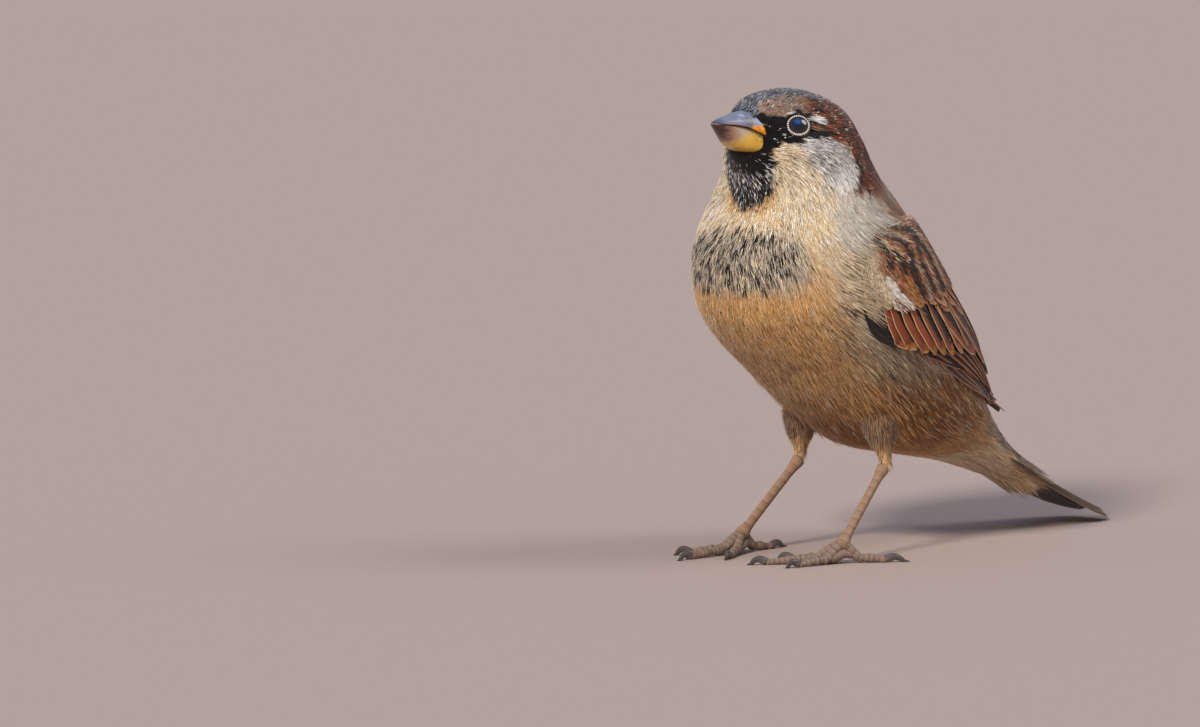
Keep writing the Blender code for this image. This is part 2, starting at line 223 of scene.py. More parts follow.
def store(made: Piece, name: str, values: Array, domain: str = "POINT") -> None:
    """Writes an attribute: whole numbers, numbers, pairs or vectors by the shape of values."""
    values = np.asarray(values)
    if values.ndim == 1:
        kind, key = ("INT", "value") if values.dtype.kind == "i" else ("FLOAT", "value")
    else:
        kind, key = {2: ("FLOAT2", "vector"), 3: ("FLOAT_VECTOR", "vector")}[values.shape[1]]
    layer = made.data.attributes.new(name, kind, domain)
    layer.data.foreach_set(key, values.astype(np.int32 if kind == "INT" else np.float32).ravel())


def ring_faces(rings: int, around: int, loop: bool = False) -> list:
    """The faces of a closed tube of rings.

    Args:
        rings: How many rings.
        around: How many points in each.
        loop: Whether its last ring joins its first, or else both ends are capped.

    Returns:
        Its faces.
    """
    faces = []
    for i in range(rings if loop else rings - 1):
        a, b = i * around, (i + 1) % rings * around
        faces += [(a + j, a + (j + 1) % around, b + (j + 1) % around, b + j) for j in range(around)]
    if not loop:
        last = (rings - 1) * around
        faces += [tuple(reversed(range(around))), tuple(range(last, last + around))]
    return faces


def sheet_faces(rows: int, columns: int, start: int = 0) -> list:
    """The faces of a closed sheet: rows of points on top, then the same below.

    Args:
        rows: How many rows.
        columns: How many points in each.
        start: The first point's number.

    Returns:
        Its faces.
    """
    size = rows * columns
    faces = []
    for i in range(rows - 1):
        for j in range(columns - 1):
            a = start + i * columns + j
            faces.append((a, a + 1, a + columns + 1, a + columns))
            faces.append((a + size, a + size + columns, a + size + columns + 1, a + size + 1))
    rim = [*range(columns), *(i * columns + columns - 1 for i in range(1, rows))]
    rim += [(rows - 1) * columns + j for j in reversed(range(columns - 1))]
    rim += [i * columns for i in reversed(range(1, rows - 1))]
    for a, b in zip(rim, rim[1:] + rim[:1]):
        faces.append((start + a, start + size + a, start + size + b, start + b))
    return faces


def tube(name: str, rings: Array, finish: Finish) -> Piece:
    """A closed smooth tube through rings of points."""
    count, around = rings.shape[:2]
    return outwards(new_object(name, rings.reshape(-1, 3), ring_faces(count, around), finish))


def rod_rings(path: Array, radii: Array, around: int = 16, flat: float = 1.0) -> Array:
    """Rings round a path.

    Args:
        path: Points on its middle line.
        radii: Its radius at each.
        around: Points in each ring.
        flat: Its depth as a share of its width.

    Returns:
        The rings, none of them below the floor.
    """
    ahead = unit(np.gradient(path, axis=0))
    level = np.cross(ahead, (0.0, 0.0, 1.0))
    level = unit(np.where(np.linalg.norm(level, axis=1, keepdims=True) < 1e-3, (1.0, 0, 0), level))
    over = np.cross(level, ahead)
    angles = np.linspace(0.0, 2 * math.pi, around, endpoint=False)[None, :, None]
    reach = np.asarray(radii)[:, None, None]
    rings = path[:, None] + reach * (np.cos(angles) * level[:, None] + flat * np.sin(angles) * over[:, None])
    rings[..., 2] = np.maximum(rings[..., 2], 0.0)
    return rings


def joined(name: str, parts: list[Piece]) -> Piece:
    """One piece made of several."""
    with bpy.context.temp_override(active_object=parts[0], selected_editable_objects=parts, object=parts[0]):
        bpy.ops.object.join()
    parts[0].name = parts[0].data.name = name
    return parts[0]


def plain_mesh(made: Piece, name: str) -> Piece:
    """The piece as its modifiers leave it, with no modifier on it."""
    bpy.context.view_layer.update()
    graph = bpy.context.evaluated_depsgraph_get()
    mesh = bpy.data.meshes.new_from_object(made.evaluated_get(graph), preserve_all_data_layers=True, depsgraph=graph)
    bpy.data.objects.remove(made)
    return show(bpy.data.objects.new(name, mesh))


# ---- finishes


class Shader:
    """A new material with short ways to add and join its nodes."""

    def __init__(self, name: str) -> None:
        """Args: name: the material's name."""
        self.material = bpy.data.materials.new(name)
        self.material.use_nodes = True
        self.tree = self.material.node_tree
        self.principled = self.tree.nodes["Principled BSDF"]

    def node(self, kind: str, **settings: object) -> bpy.types.Node:
        """A new node with these settings."""
        made = self.tree.nodes.new(kind)
        for key, value in settings.items():
            setattr(made, key, value)
        return made

    def feed(self, socket: Socket, value: object) -> None:
        """Links a socket to another, or sets it to a value."""
        if isinstance(value, Socket):
            self.tree.links.new(value, socket)
        else:
            socket.default_value = value

    def read(self, name: str, output: str = "Vector") -> Socket:
        """An attribute of the piece."""
        return self.node("ShaderNodeAttribute", attribute_name=name).outputs[output]

    def parts(self, name: str) -> bpy.types.NodeOutputs:
        """The three numbers of a vector attribute."""
        made = self.node("ShaderNodeSeparateXYZ")
        self.feed(made.inputs[0], self.read(name))
        return made.outputs

    def grain(self, scale: float) -> Socket:
        """Fine noise on the piece's own coordinates."""
        made = self.node("ShaderNodeTexNoise")
        made.inputs["Scale"].default_value = scale
        self.feed(made.inputs["Vector"], self.node("ShaderNodeTexCoord").outputs["Object"])
        return made.outputs[0]

    def shaded(self, colour: Socket, light: Socket) -> Socket:
        """A colour made lighter or darker."""
        grey = self.node("ShaderNodeCombineColor")
        for socket in grey.inputs[:3]:
            self.feed(socket, light)
        return self.mix(1.0, colour, grey.outputs[0], "MULTIPLY")

    def maths(self, operation: str, *values: object) -> Socket:
        """A number worked out from others."""
        made = self.node("ShaderNodeMath", operation=operation)
        for socket, value in zip(made.inputs, values):
            self.feed(socket, value)
        return made.outputs[0]

    def span(self, value: object, low: float, high: float, start: float = 0.0, end: float = 1.0) -> Socket:
        """A number taken smoothly from start, below low, to end, above high."""
        made = self.node("ShaderNodeMapRange", interpolation_type="SMOOTHSTEP")
        for key, given in zip(("Value", "From Min", "From Max", "To Min", "To Max"), (value, low, high, start, end)):
            self.feed(made.inputs[key], given)
        return made.outputs["Result"]

    def mix(self, share: object, a: object, b: object, mode: str = "MIX") -> Socket:
        """Two colours mixed."""
        made = self.node("ShaderNodeMix", data_type="RGBA", blend_type=mode)
        self.feed(made.inputs[0], share)
        for socket, value in ((made.inputs[6], a), (made.inputs[7], b)):
            if not isinstance(value, Socket):
                value = (*value, 1.0)
            self.feed(socket, value)
        return made.outputs[2]

    def set(self, **values: object) -> None:
        """Sets or links the surface's own inputs, named with _ for a space."""
        for key, value in values.items():
            self.feed(self.principled.inputs[key.replace("_", " ")], value)

    def bump(self, height: Socket, distance: float, strength: float = 1.0) -> None:
        """Raises the surface by a height, in metres where it is 1."""
        made = self.node("ShaderNodeBump")
        made.inputs["Distance"].default_value = distance
        made.inputs["Strength"].default_value = strength
        self.feed(made.inputs["Height"], height)
        self.feed(self.principled.inputs["Normal"], made.outputs["Normal"])


@dataclass(frozen=True)
class TuftFinish:
    """Soft barbs in the colours painted on them, darker at the roots as painted shade, with a fine grain and a little
    sheen.
    """

    roughness: float = 0.7
    sheen: float = 0.2

    def material(self) -> Finish:
        """The finish of every tuft."""
        s = Shader("soft_feathers")
        shade = s.span(s.grain(3000.0), 0.3, 0.7, 0.88, 1.1)
        s.set(Base_Color=s.shaded(s.read("tint", "Color"), shade), Roughness=self.roughness)
        s.set(Sheen_Weight=self.sheen, Sheen_Roughness=0.5, Specular_IOR_Level=0.25)
        return s.material


@dataclass(frozen=True)
class SkinFinish:
    """What shows between the tufts: down in the coat's own colours, darkened as painted shade."""

    def material(self) -> Finish:
        """The finish of the skin."""
        s = Shader("down")
        s.set(Base_Color=s.read("tint", "Color"), Roughness=0.9, Specular_IOR_Level=0.1)
        s.bump(s.grain(2500.0), 0.0001, 0.5)
        return s.material


@dataclass(frozen=True)
class VaneFinish:
    """Flat webs with a shaft, fine barbs, a dark middle and a paler fringe."""

    roughness: float = 0.5
    barbs: float = 3.2  # in each millimetre

    def material(self) -> Finish:
        """The finish of the flight and covert feathers."""
        s = Shader("vanes")
        across, along, chance = s.parts("web")
        wide, length, fringe = s.parts("web_size")
        core_low, core_high, core_end = s.parts("web_core")
        side = s.maths("ABSOLUTE", across)
        aside = s.maths("MULTIPLY", side, wide)
        slant = s.maths("ADD", s.maths("MULTIPLY", along, length), s.maths("MULTIPLY", aside, -1.3))
        wave = s.maths("SINE", s.maths("MULTIPLY", slant, self.barbs * 2 * math.pi))
        wobble = s.maths("MULTIPLY", s.maths("SUBTRACT", s.grain(900.0), 0.5), 0.3)
        place, far = s.maths("ADD", across, wobble), s.maths("ADD", along, wobble)
        dark = s.span(s.maths("SUBTRACT", place, core_low), -0.1, 0.15)
        dark = s.maths("MULTIPLY", dark, s.span(s.maths("SUBTRACT", core_high, place), -0.1, 0.15))
        dark = s.maths("MULTIPLY", dark, s.span(s.maths("SUBTRACT", core_end, far), -0.05, 0.08))
        colour = s.mix(dark, s.read("web_tint", "Color"), s.read("core_tint", "Color"))
        edge = s.maths("ADD", side, s.span(along, 0.86, 1.0, 0.0, 0.3))
        fringed = s.span(s.maths("ADD", s.maths("SUBTRACT", edge, 1.0), fringe), -0.05, 0.06)
        colour = s.mix(fringed, colour, s.read("edge_tint", "Color"))
        tip = s.maths("MULTIPLY", s.span(far, 0.82, 0.95), s.read("tipped", "Fac"))
        colour = s.mix(tip, colour, s.read("tip_tint", "Color"))
        shaft = s.span(aside, 0.05, 0.14, 0.55, 0.0)
        colour = s.mix(shaft, colour, tuple(linear(70, 45, 30)))
        light = s.maths("ADD", s.maths("MULTIPLY", chance, 0.25), 0.85)
        light = s.maths("ADD", s.maths("MULTIPLY", wave, 0.09), light)
        s.set(Base_Color=s.shaded(colour, light), Roughness=self.roughness)
        s.set(Sheen_Weight=0.1, Specular_IOR_Level=0.35)
        s.bump(s.maths("MULTIPLY", wave, 0.5), 0.00004, 0.6)
        return s.material


@dataclass(frozen=True)
class PaintedFinish:
    """A horny or wet surface whose colours are worked out point by point."""

    name: str
    roughness: float
    coat: float = 0.0
    grain: float = 0.0  # how deep its fine relief is, in millimetres
    scale: float = 900.0

    def material(self) -> Finish:
        """The finish."""
        s = Shader(self.name)
        s.set(Base_Color=s.read("tint", "Color"), Roughness=self.roughness)
        s.set(Coat_Weight=self.coat, Coat_Roughness=0.08)
        if self.grain:
            s.bump(s.grain(self.scale), self.grain * MM, 0.8)
        return s.material


# ---- the body's form


@dataclass(frozen=True)
class Slice:
    """One slice of the body, from its highest point on the back to its lowest on the front."""

    name: str
    back: Pair
    front: Pair
    half_width: float
    low: float = 0.0
    square: float = 2.0


SLICES = (
    Slice("face", (-13.5, 85.0), (-14.2, 77.5), 3.3, -0.25, 2.3),
    Slice("lores", (-10.4, 87.4), (-13.6, 74.6), 4.9, -0.1, 2.2),
    Slice("eye", (-4.0, 88.3), (-12.6, 71.9), 8.3, 0.04),
    Slice("crown", (2.2, 87.8), (-12.0, 68.5), 10.8, 0.0),
    Slice("ear", (8.8, 85.3), (-13.0, 65.2), 12.9, -0.02),
    Slice("nape", (13.1, 80.1), (-15.5, 61.8), 14.8, 0.02),
    Slice("neck", (16.2, 73.6), (-17.6, 58.0), 17.1),
    Slice("shoulder", (21.8, 66.5), (-17.8, 53.0), 19.3, 0.0, 2.1),
    Slice("breast", (27.3, 58.5), (-15.7, 46.4), 20.8, 0.0, 2.15),
    Slice("back", (33.6, 50.4), (-10.7, 40.4), 21.0, 0.0, 2.15),
    Slice("belly", (39.7, 42.2), (-3.6, 34.6), 20.2, 0.0, 2.1),
    Slice("hips", (45.0, 34.5), (5.7, 26.8), 17.9),
    Slice("rump", (49.2, 27.8), (17.0, 19.9), 14.7),
    Slice("vent", (53.0, 22.8), (30.0, 17.2), 11.3),
    Slice("coverts", (57.0, 19.2), (44.0, 14.6), 8.2),
    Slice("tail_base", (62.0, 15.6), (57.5, 10.6), 5.2),
)

HEAD_CENTRE = (0.0, -6.4, 82.7)  # midway between the eyes
HEAD_PITCH = math.radians(15)
EYE_RADIUS = 3.1


def head_point(forward: Array, aside: Array, up: Array) -> Array:
    """A place given from the point midway between the eyes, along the head's own directions."""
    forward, aside, up = np.broadcast_arrays(*(np.asarray(v, float) for v in (forward, aside, up)))
    c, s = math.cos(HEAD_PITCH), math.sin(HEAD_PITCH)
    x, y, z = HEAD_CENTRE
    return np.stack([x + aside, y - c * forward + s * up, z + s * forward + c * up], -1)


class Form:
    """A smooth shape read by a place along it and an angle round it."""

    length: float = 1.0

    def outline(self, at: Array, angle: Array) -> Array:
        """Points on the feathers' outer surface."""
        raise NotImplementedError

    def slopes(self, at: Array, angle: Array) -> tuple[Array, Array]:
        """How the outline moves for one step along and for one radian round."""
        step = 0.02 * self.length / 15.0
        along = (self.outline(at + step, angle) - self.outline(at - step, angle)) / (2 * step)
        around = (self.outline(at, angle + 0.02) - self.outline(at, angle - 0.02)) / 0.04
        return along, around

    def normal(self, at: Array, angle: Array) -> Array:
        """The way out."""
        along, around = self.slopes(at, angle)
        return unit(np.cross(around, along))

    def point(self, at: Array, angle: Array, out: Array = 0.0) -> Array:
        """Points moved outwards from the outline by some millimetres."""
        at, angle, out = np.broadcast_arrays(*(np.asarray(v, float) for v in (at, angle, out)))
        return self.outline(at, angle) + self.normal(at, angle) * out[..., None]

    def cell(self, at: Array, angle: Array) -> Array:
        """The surface that one step along and one radian round take up."""
        return np.linalg.norm(np.cross(*self.slopes(at, angle)), axis=-1)


class BodyForm(Form):
    """The body from face to tail base, with angle 0 on the back, growing round its left side to the front."""

    length = float(len(SLICES) - 1)

    def outline(self, at: Array, angle: Array) -> Array:
        """Points on the feathers' outer surface."""
        at, angle = np.broadcast_arrays(np.asarray(at, float), np.asarray(angle, float))
        beyond = np.where(at > self.length, at - self.length, np.minimum(at, 0.0))
        at = np.clip(at, 0.0, self.length)
        back = through([s.back for s in SLICES], at)
        front = through([s.front for s in SLICES], at)
        half_width = through([s.half_width for s in SLICES], at)
        low = through([s.low for s in SLICES], at)
        power = 2.0 / through([s.square for s in SLICES], at)
        along = np.sign(np.cos(angle)) * np.abs(np.cos(angle)) ** power
        aside = np.sign(np.sin(angle)) * np.abs(np.sin(angle)) ** power
        middle, reach = (back + front) / 2.0, (back - front) / 2.0
        flat = middle + along[..., None] * reach
        wide = half_width * aside * (1.0 - low * along)
        behind = np.where(beyond > 0, 5.5, 4.5)[..., None] * beyond[..., None]
        way = np.where((beyond > 0)[..., None], (0.0, 0.88, -0.47), (0.0, 0.97, 0.26))
        return np.stack([wide, flat[..., 0], flat[..., 1]], -1) + behind * way


@dataclass
class ThighForm(Form):
    """The feathered upper leg: a cone from inside the belly down to the heel."""

    side: float
    knee: Place = (8.6, 13.0, 33.0)
    heel: Place = (10.5, 14.9, 18.4)
    radii: tuple[float, ...] = (2.6, 2.9, 3.3, 3.6, 3.6, 3.1, 2.2, 1.2)
    length: float = 7.0

    def outline(self, at: Array, angle: Array) -> Array:
        """Points on the feathers' outer surface."""
        at, angle = np.broadcast_arrays(np.asarray(at, float), np.asarray(angle, float))
        share = (at / self.length)[..., None]
        centre = np.array(self.knee) * (1 - share) + np.array(self.heel) * share
        radius = through(self.radii, at)
        ring = np.stack([np.sin(angle) * radius, np.cos(angle) * radius, 0 * radius], -1)
        return (centre + ring) * (self.side, 1.0, 1.0)

    def slopes(self, at: Array, angle: Array) -> tuple[Array, Array]:
        """As any form's, turned so that outwards stays outwards on both sides."""
        along, around = super().slopes(at, angle)
        return along, around * self.side


# ---- markings


class Hue(Enum):
    """The coat's colours."""

    BLACK = (20, 17, 18)
    SOOT = (54, 49, 48)
    SLATE = (124, 129, 142)
    PALE_GREY = (196, 192, 186)
    CHEEK = (186, 179, 166)
    WHITE = (234, 228, 220)
    CREAM = (228, 208, 172)
    BUFF = (206, 172, 128)
    FAWN = (212, 162, 104)
    TAN = (172, 116, 50)
    OCHRE = (196, 138, 72)
    FLANK = (176, 156, 130)
    GREY_BROWN = (146, 124, 104)
    BROW = (158, 134, 120)
    UMBER = (116, 66, 12)
    AMBER = (224, 176, 116)
    CHESTNUT = (108, 48, 30)
    MAROON = (74, 30, 22)
    RUST = (142, 66, 28)
    BROWN = (112, 84, 62)
    DARK_BROWN = (58, 42, 34)
    MANTLE = (164, 104, 64)
    OLIVE = (86, 66, 50)

    @property
    def tint(self) -> Array:
        """The colour as shaders use it."""
        return linear(*self.value)


@dataclass
class Coat:
    """Colours and measures at places on the coat."""

    root: Array
    tip: Array
    core: Array
    core_share: Array

    @classmethod
    def plain(cls, places: Array, hues: tuple[Hue, Hue, Hue], core_share: float) -> "Coat":
        """One root, tip and middle colour at every place."""
        shape = places.shape[:-1]
        return cls(*(np.broadcast_to(h.tint, (*shape, 3)).copy() for h in hues), np.full(shape, core_share))

    def paint(
        self, share: Array, root: Hue, tip: Hue | None = None, core: Hue | None = None, core_share: float = 0.0
    ) -> None:
        """Lays a colour over part of the coat.

        Args:
            share: How much of it each place takes.
            root: The colour at the tufts' roots.
            tip: The colour at their tips, if another.
            core: The colour down their middles, if any.
            core_share: How strong that middle is.
        """
        share = np.clip(share, 0.0, 1.0)
        self.root = blend(self.root, root.tint, share)
        self.tip = blend(self.tip, (tip or root).tint, share)
        self.core = blend(self.core, (core or root).tint, share)
        self.core_share = self.core_share * (1 - share) + core_share * share


def stroke(points: Array, line: list[Place], radius: float, soft: float) -> Array:
    """A soft mark along a line of places on the left side, and the same on the right.

    Args:
        points: Where to read it.
        line: The line's corners.
        radius: How far it reaches from the line.
        soft: How wide its edge is.

    Returns:
        1 in the mark, 0 outside it.
    """
    places = np.concatenate([np.abs(points[..., :1]), points[..., 1:]], -1)
    corners = np.array(line, float)
    if len(corners) == 1:
        corners = np.repeat(corners, 2, axis=0) + [[0, 0, 0], [0, 0, 1e-3]]
    nearest = np.full(points.shape[:-1], 1e9)
    for a, b in zip(corners, corners[1:]):
        t = np.clip(((places - a) @ (b - a)) / ((b - a) @ (b - a)), 0.0, 1.0)
        nearest = np.minimum(nearest, np.linalg.norm(places - (a + t[..., None] * (b - a)), axis=-1))
    return below(radius, soft, nearest)


MASK = [(0.9, -12.4, 85.0), (3.2, -12.4, 83.9), (5.2, -11.0, 82.3), (6.2, -12.0, 80.4), (6.6, -11.3, 79.2)]
FACE_MARKS = (  # (line on the left side, how far it reaches, how soft its edge is, root and tip colour)
    (MASK, 1.1, 0.4, Hue.BLACK, None),
    ([(5.2, -10.6, 82.4), (6.9, -8.8, 81.8)], 1.75, 0.5, Hue.BLACK, None),
    ([(4.6, -12.8, 81.0), (5.2, -12.4, 79.0), (4.9, -13.2, 76.8)], 1.35, 0.5, Hue.BLACK, None),
    ([(6.4, -10.6, 80.6), (8.2, -9.2, 80.0), (9.3, -7.2, 80.0)], 1.2, 0.4, Hue.BLACK, None),
    ([(8.3, -6.4, 82.6)], 3.0, 0.5, Hue.BLACK, None),
    ([(9.6, -5.6, 80.6), (10.1, -4.4, 80.3), (10.7, -1.6, 80.1)], 0.9, 0.4, Hue.BLACK, None),
    ([(6.6, -3.6, 84.6), (8.6, -3.4, 82.6), (8.8, -4.2, 81.6)], 0.8, 0.4, Hue.BLACK, None),
    ([(8.8, -3.0, 83.3), (9.4, -1.8, 82.9)], 0.75, 0.3, Hue.PALE_GREY, Hue.WHITE),
    ([(8.9, -3.6, 82.2), (9.6, -2.4, 81.8)], 0.55, 0.3, Hue.BLACK, Hue.SOOT),
    ([(6.4, -7.6, 84.3), (6.7, -6.6, 84.7)], 0.32, 0.3, Hue.WHITE, None),
)


def markings(at: Array, angle: Array, points: Array) -> Coat:
    """The sparrow's pattern.

    Args:
        at: The places' slice positions.
        angle: Their angles, in radians.
        points: The same places in millimetres.

    Returns:
        The coat's colours there.
    """
    g = from_back(angle)
    wobble = noise(points, 1.6, 3)
    coarse = noise(points, 4.0, 5)
    g_ = g + 4.0 * wobble
    a_ = at + 0.1 * wobble
    fine = noise(points, 0.55, 7)
    coat = Coat.plain(points, (Hue.FAWN, Hue.BUFF, Hue.TAN), 0.3)
    # underside: warm in front, greyer on the flanks, browner and darker low down, which is partly its own colour and
    # partly painted shade under the body
    coat.paint(ramp(6.9, 8.2, a_) * ramp(120.0, 150.0, g_), Hue.FAWN, Hue.AMBER, Hue.TAN, 0.35)
    # from here the lower belly and flanks are painted browner and darker, partly as painted shade under the body
    coat.paint(ramp(9.2, 10.8, a_) * ramp(118.0, 136.0, g_), Hue.TAN, Hue.AMBER, Hue.UMBER, 0.4)
    coat.paint(below(128.0, 24.0, g_) * ramp(8.2, 9.6, a_), Hue.GREY_BROWN, Hue.FLANK, Hue.BROWN, 0.5)
    coat.paint(below(134.0, 24.0, g_) * ramp(9.9, 11.2, a_), Hue.UMBER, Hue.TAN, Hue.UMBER, 0.45)
    coat.paint(0.8 * ramp(10.4, 11.4, a_) * ramp(120.0, 140.0, g_), Hue.UMBER, Hue.TAN, Hue.UMBER, 0.4)
    coat.paint(ramp(12.0, 13.0, a_), Hue.TAN, Hue.FAWN, Hue.UMBER, 0.4)
    coat.paint(ramp(12.9, 14.0, a_), Hue.BUFF, Hue.CREAM, Hue.TAN, 0.3)
    coat.paint(below(76.0, 14.0, g_) * ramp(12.2, 13.0, a_), Hue.GREY_BROWN, Hue.FLANK, Hue.BROWN, 0.5)
    spots = ramp(0.1, 0.5, noise(points, 2.6, 91))
    coat.paint(below(76.0, 10.0, g_) * ramp(12.2, 13.0, a_) * spots, Hue.DARK_BROWN, Hue.BROWN)
    # neck sides and the pale gap under the bib
    collar = ramp(3.4, 4.4, a_) * below(6.7, 1.4, a_) * ramp(66.0, 80.0, g_)
    coat.paint(collar, Hue.CREAM, Hue.CREAM, Hue.BUFF, 0.45)
    coat.paint(collar * ramp(0.2, 0.7, coarse) * 0.6, Hue.BUFF, Hue.CREAM, Hue.OCHRE, 0.35)
    side = ramp(5.5, 6.4, a_) * below(9.4, 1.6, a_) * below(122.0, 16.0, g_)
    coat.paint(0.85 * side, Hue.CHEEK, Hue.CREAM, Hue.GREY_BROWN, 0.45)
    pale = ramp(5.0, 5.7, a_) * below(7.0, 0.8, a_) * ramp(62.0, 72.0, g_) * below(106.0, 14.0, g_)
    coat.paint(0.85 * pale, Hue.WHITE, Hue.CHEEK, Hue.CHEEK, 0.2)
    # breast band of dark-centred feathers
    top = np.interp(g, [112.0, 120.0, 131.0, 150.0, 180.0], [6.9, 6.4, 5.75, 5.2, 4.9])
    band = ramp(top - 0.5, top + 0.5, a_) * below(7.3, 0.7, a_) * ramp(120.0, 138.0, g_)
    coat.paint(0.9 * band, Hue.GREY_BROWN, Hue.CHEEK, Hue.SOOT, 0.3)
    # back
    upper = below(64.0, 16.0, g_) * ramp(5.2, 6.0, a_) * below(12.4, 0.8, a_)
    coat.paint(upper, Hue.MANTLE, Hue.MANTLE, Hue.BLACK, 0.0)
    streak = upper * below(9.8, 1.0, a_)
    lines = ramp(0.0, 0.35, np.sin(np.radians(g) * 22.0 + 2.0 * coarse))
    coat.paint(streak * lines, Hue.BROWN, Hue.MANTLE, Hue.BLACK, 1.0)
    coat.paint(upper * below(6.6, 1.0, a_), Hue.GREY_BROWN, Hue.FLANK, Hue.BROWN, 0.5)
    rump = below(58.0, 20.0, g_) * ramp(9.6, 10.8, a_) * below(13.0, 1.0, a_)
    coat.paint(rump, Hue.BROWN, Hue.FLANK, Hue.DARK_BROWN, 0.3)
    # cheek: cream below, grey with fine dark lines above, whitest behind
    cheek = ramp(1.2, 1.9, a_) * below(5.25, 0.3, a_) * ramp(68.0, 78.0, g_) * below(150.0, 18.0, g_)
    coat.paint(cheek, Hue.CHEEK, Hue.CREAM, Hue.BUFF, 0.2)
    grey = cheek * below(np.interp(at, [1.5, 3.0, 4.6, 5.3], [94.0, 102.0, 106.0, 96.0]), 14.0, g_)
    coat.paint(grey, Hue.CHEEK, Hue.WHITE, Hue.SLATE, 0.3)
    coat.paint(0.8 * grey * ramp(2.5, 3.1, a_) * below(4.6, 0.7, a_), Hue.PALE_GREY, Hue.CHEEK, Hue.SLATE, 0.5)
    coat.paint(cheek * ramp(4.4, 4.9, a_) * below(98.0, 10.0, g_), Hue.WHITE, Hue.WHITE, Hue.PALE_GREY, 0.3)
    # bib
    edge = np.interp(at, [0.0, 1.1, 1.5, 2.2, 2.85, 3.3, 3.9], [92.0, 103.0, 121.0, 137.0, 148.0, 160.0, 185.0])
    bib = ramp(edge - 4.0, edge + 4.0, g_ + 4.0 * coarse + 5.0 * fine)
    coat.paint(bib, Hue.BLACK, Hue.BLACK)
    coat.paint(0.7 * bib * ramp(1.8, 3.2, a_), Hue.BLACK, Hue.SOOT, Hue.BLACK, 0.6)
    # crown, brow and the chestnut of the head's sides
    crown_at = [0.0, 0.5, 0.9, 1.67, 2.43, 3.07, 3.8, 5.4]
    crown_edge = np.interp(at, crown_at, [40.0, 30.0, 24.0, 25.0, 31.0, 30.0, 24.0, 8.0])
    head_top = below(70.0, 8.0, g_) * below(6.0, 0.8, a_)
    coat.paint(head_top * below(2.45, 0.5, a_), Hue.BROW, Hue.BROW, Hue.BROWN, 0.6)
    low = np.interp(at, [2.2, 3.0, 3.5, 4.3, 4.8, 5.5, 6.2], [66.0, 71.0, 75.0, 69.0, 70.0, 80.0, 60.0])
    red = below(low, 6.0, g_) * ramp(2.25, 2.6, a_) * below(6.1, 0.7, a_)
    coat.paint(red, Hue.CHESTNUT, Hue.RUST, Hue.MAROON, 0.6)
    coat.paint(red * ramp(0.1, 0.4, noise(points, 0.8, 33)), Hue.MAROON, Hue.BLACK, Hue.BLACK, 0.6)
    coat.paint(0.6 * red * ramp(0.35, 0.5, noise(points, 0.6, 31)), Hue.MAROON, Hue.BUFF, Hue.CHESTNUT, 0.3)
    coat.paint(red * ramp(5.1, 5.6, a_) * ramp(50.0, 64.0, g_), Hue.RUST, Hue.RUST, Hue.CHESTNUT, 0.4)
    crown = below(crown_edge, 7.0, g_ + 5.0 * fine) * below(4.6, 1.6, a_)
    coat.paint(crown, Hue.SLATE, Hue.SLATE, Hue.SOOT, 0.75)
    coat.paint(0.7 * crown * ramp(0.1, 0.5, noise(points, 0.8, 41)), Hue.SOOT, Hue.SLATE, Hue.SOOT, 0.7)
    coat.paint(crown * ramp(2.2, 4.0, a_) * 0.25, Hue.GREY_BROWN, Hue.FLANK, Hue.BROWN, 0.5)
    coat.paint(crown * below(0.5, 0.4, a_) * 0.4, Hue.SOOT, Hue.SLATE, Hue.BLACK, 0.8)
    # marks round the eye
    ragged = points + 0.35 * np.stack([noise(points, 0.8, k) for k in (71, 72, 73)], -1)
    for line, radius, soft, root, tip in FACE_MARKS:
        coat.paint(stroke(ragged, line, radius, soft), root, tip)
    specks = stroke(points, [(8.3, -6.6, 82.4)], 3.4, 0.6)
    specks = specks + stroke(points, [(5.6, -11.2, 81.2), (7.6, -9.6, 79.9)], 1.3, 0.5)
    coat.paint(specks * ramp(0.66, 0.76, noise(points, 0.42, 75)), Hue.BLACK, Hue.PALE_GREY)
    crescent = [(12.9, 3.8, 76.1), (14.3, 4.1, 73.2), (15.3, 2.8, 70.9), (15.6, 0.6, 69.9)]
    coat.paint(stroke(ragged, crescent, 0.55, 0.4), Hue.BLACK)
    return coat


# ---- the coat's measures


FACE_DISTANCE = (3, 8, 16, 30, 45)  # millimetres from the face, at which the sizes below hold
TUFT_SIZES = (
    (0.4, 0.46, 0.6, 0.8, 0.95),  # spacing
    (1.3, 2.2, 4.2, 6.4, 8.0),  # length
    (0.22, 0.36, 0.75, 1.2, 1.5),  # depth
)


def coat_measure(at: Array, angle: Array, points: Array) -> tuple[Array, Array, Array]:
    """(spacing, length, depth) of the tufts in millimetres, smallest on the face."""
    g = from_back(angle)
    far = np.linalg.norm(points - (0.0, -13.0, 81.0), axis=-1)
    spacing, length, depth = (np.interp(far, FACE_DISTANCE, values) for values in TUFT_SIZES)
    upper = (1 - ramp(50, 75, g)) * ramp(5.5, 6.5, at)
    depth = depth * (1 - 0.35 * upper)
    rear = ramp(12.5, 14.0, at)
    depth = depth * (1 - rear) + 0.7 * rear
    return spacing, length + 2.0 * rear, depth


# ---- the folded wing's form


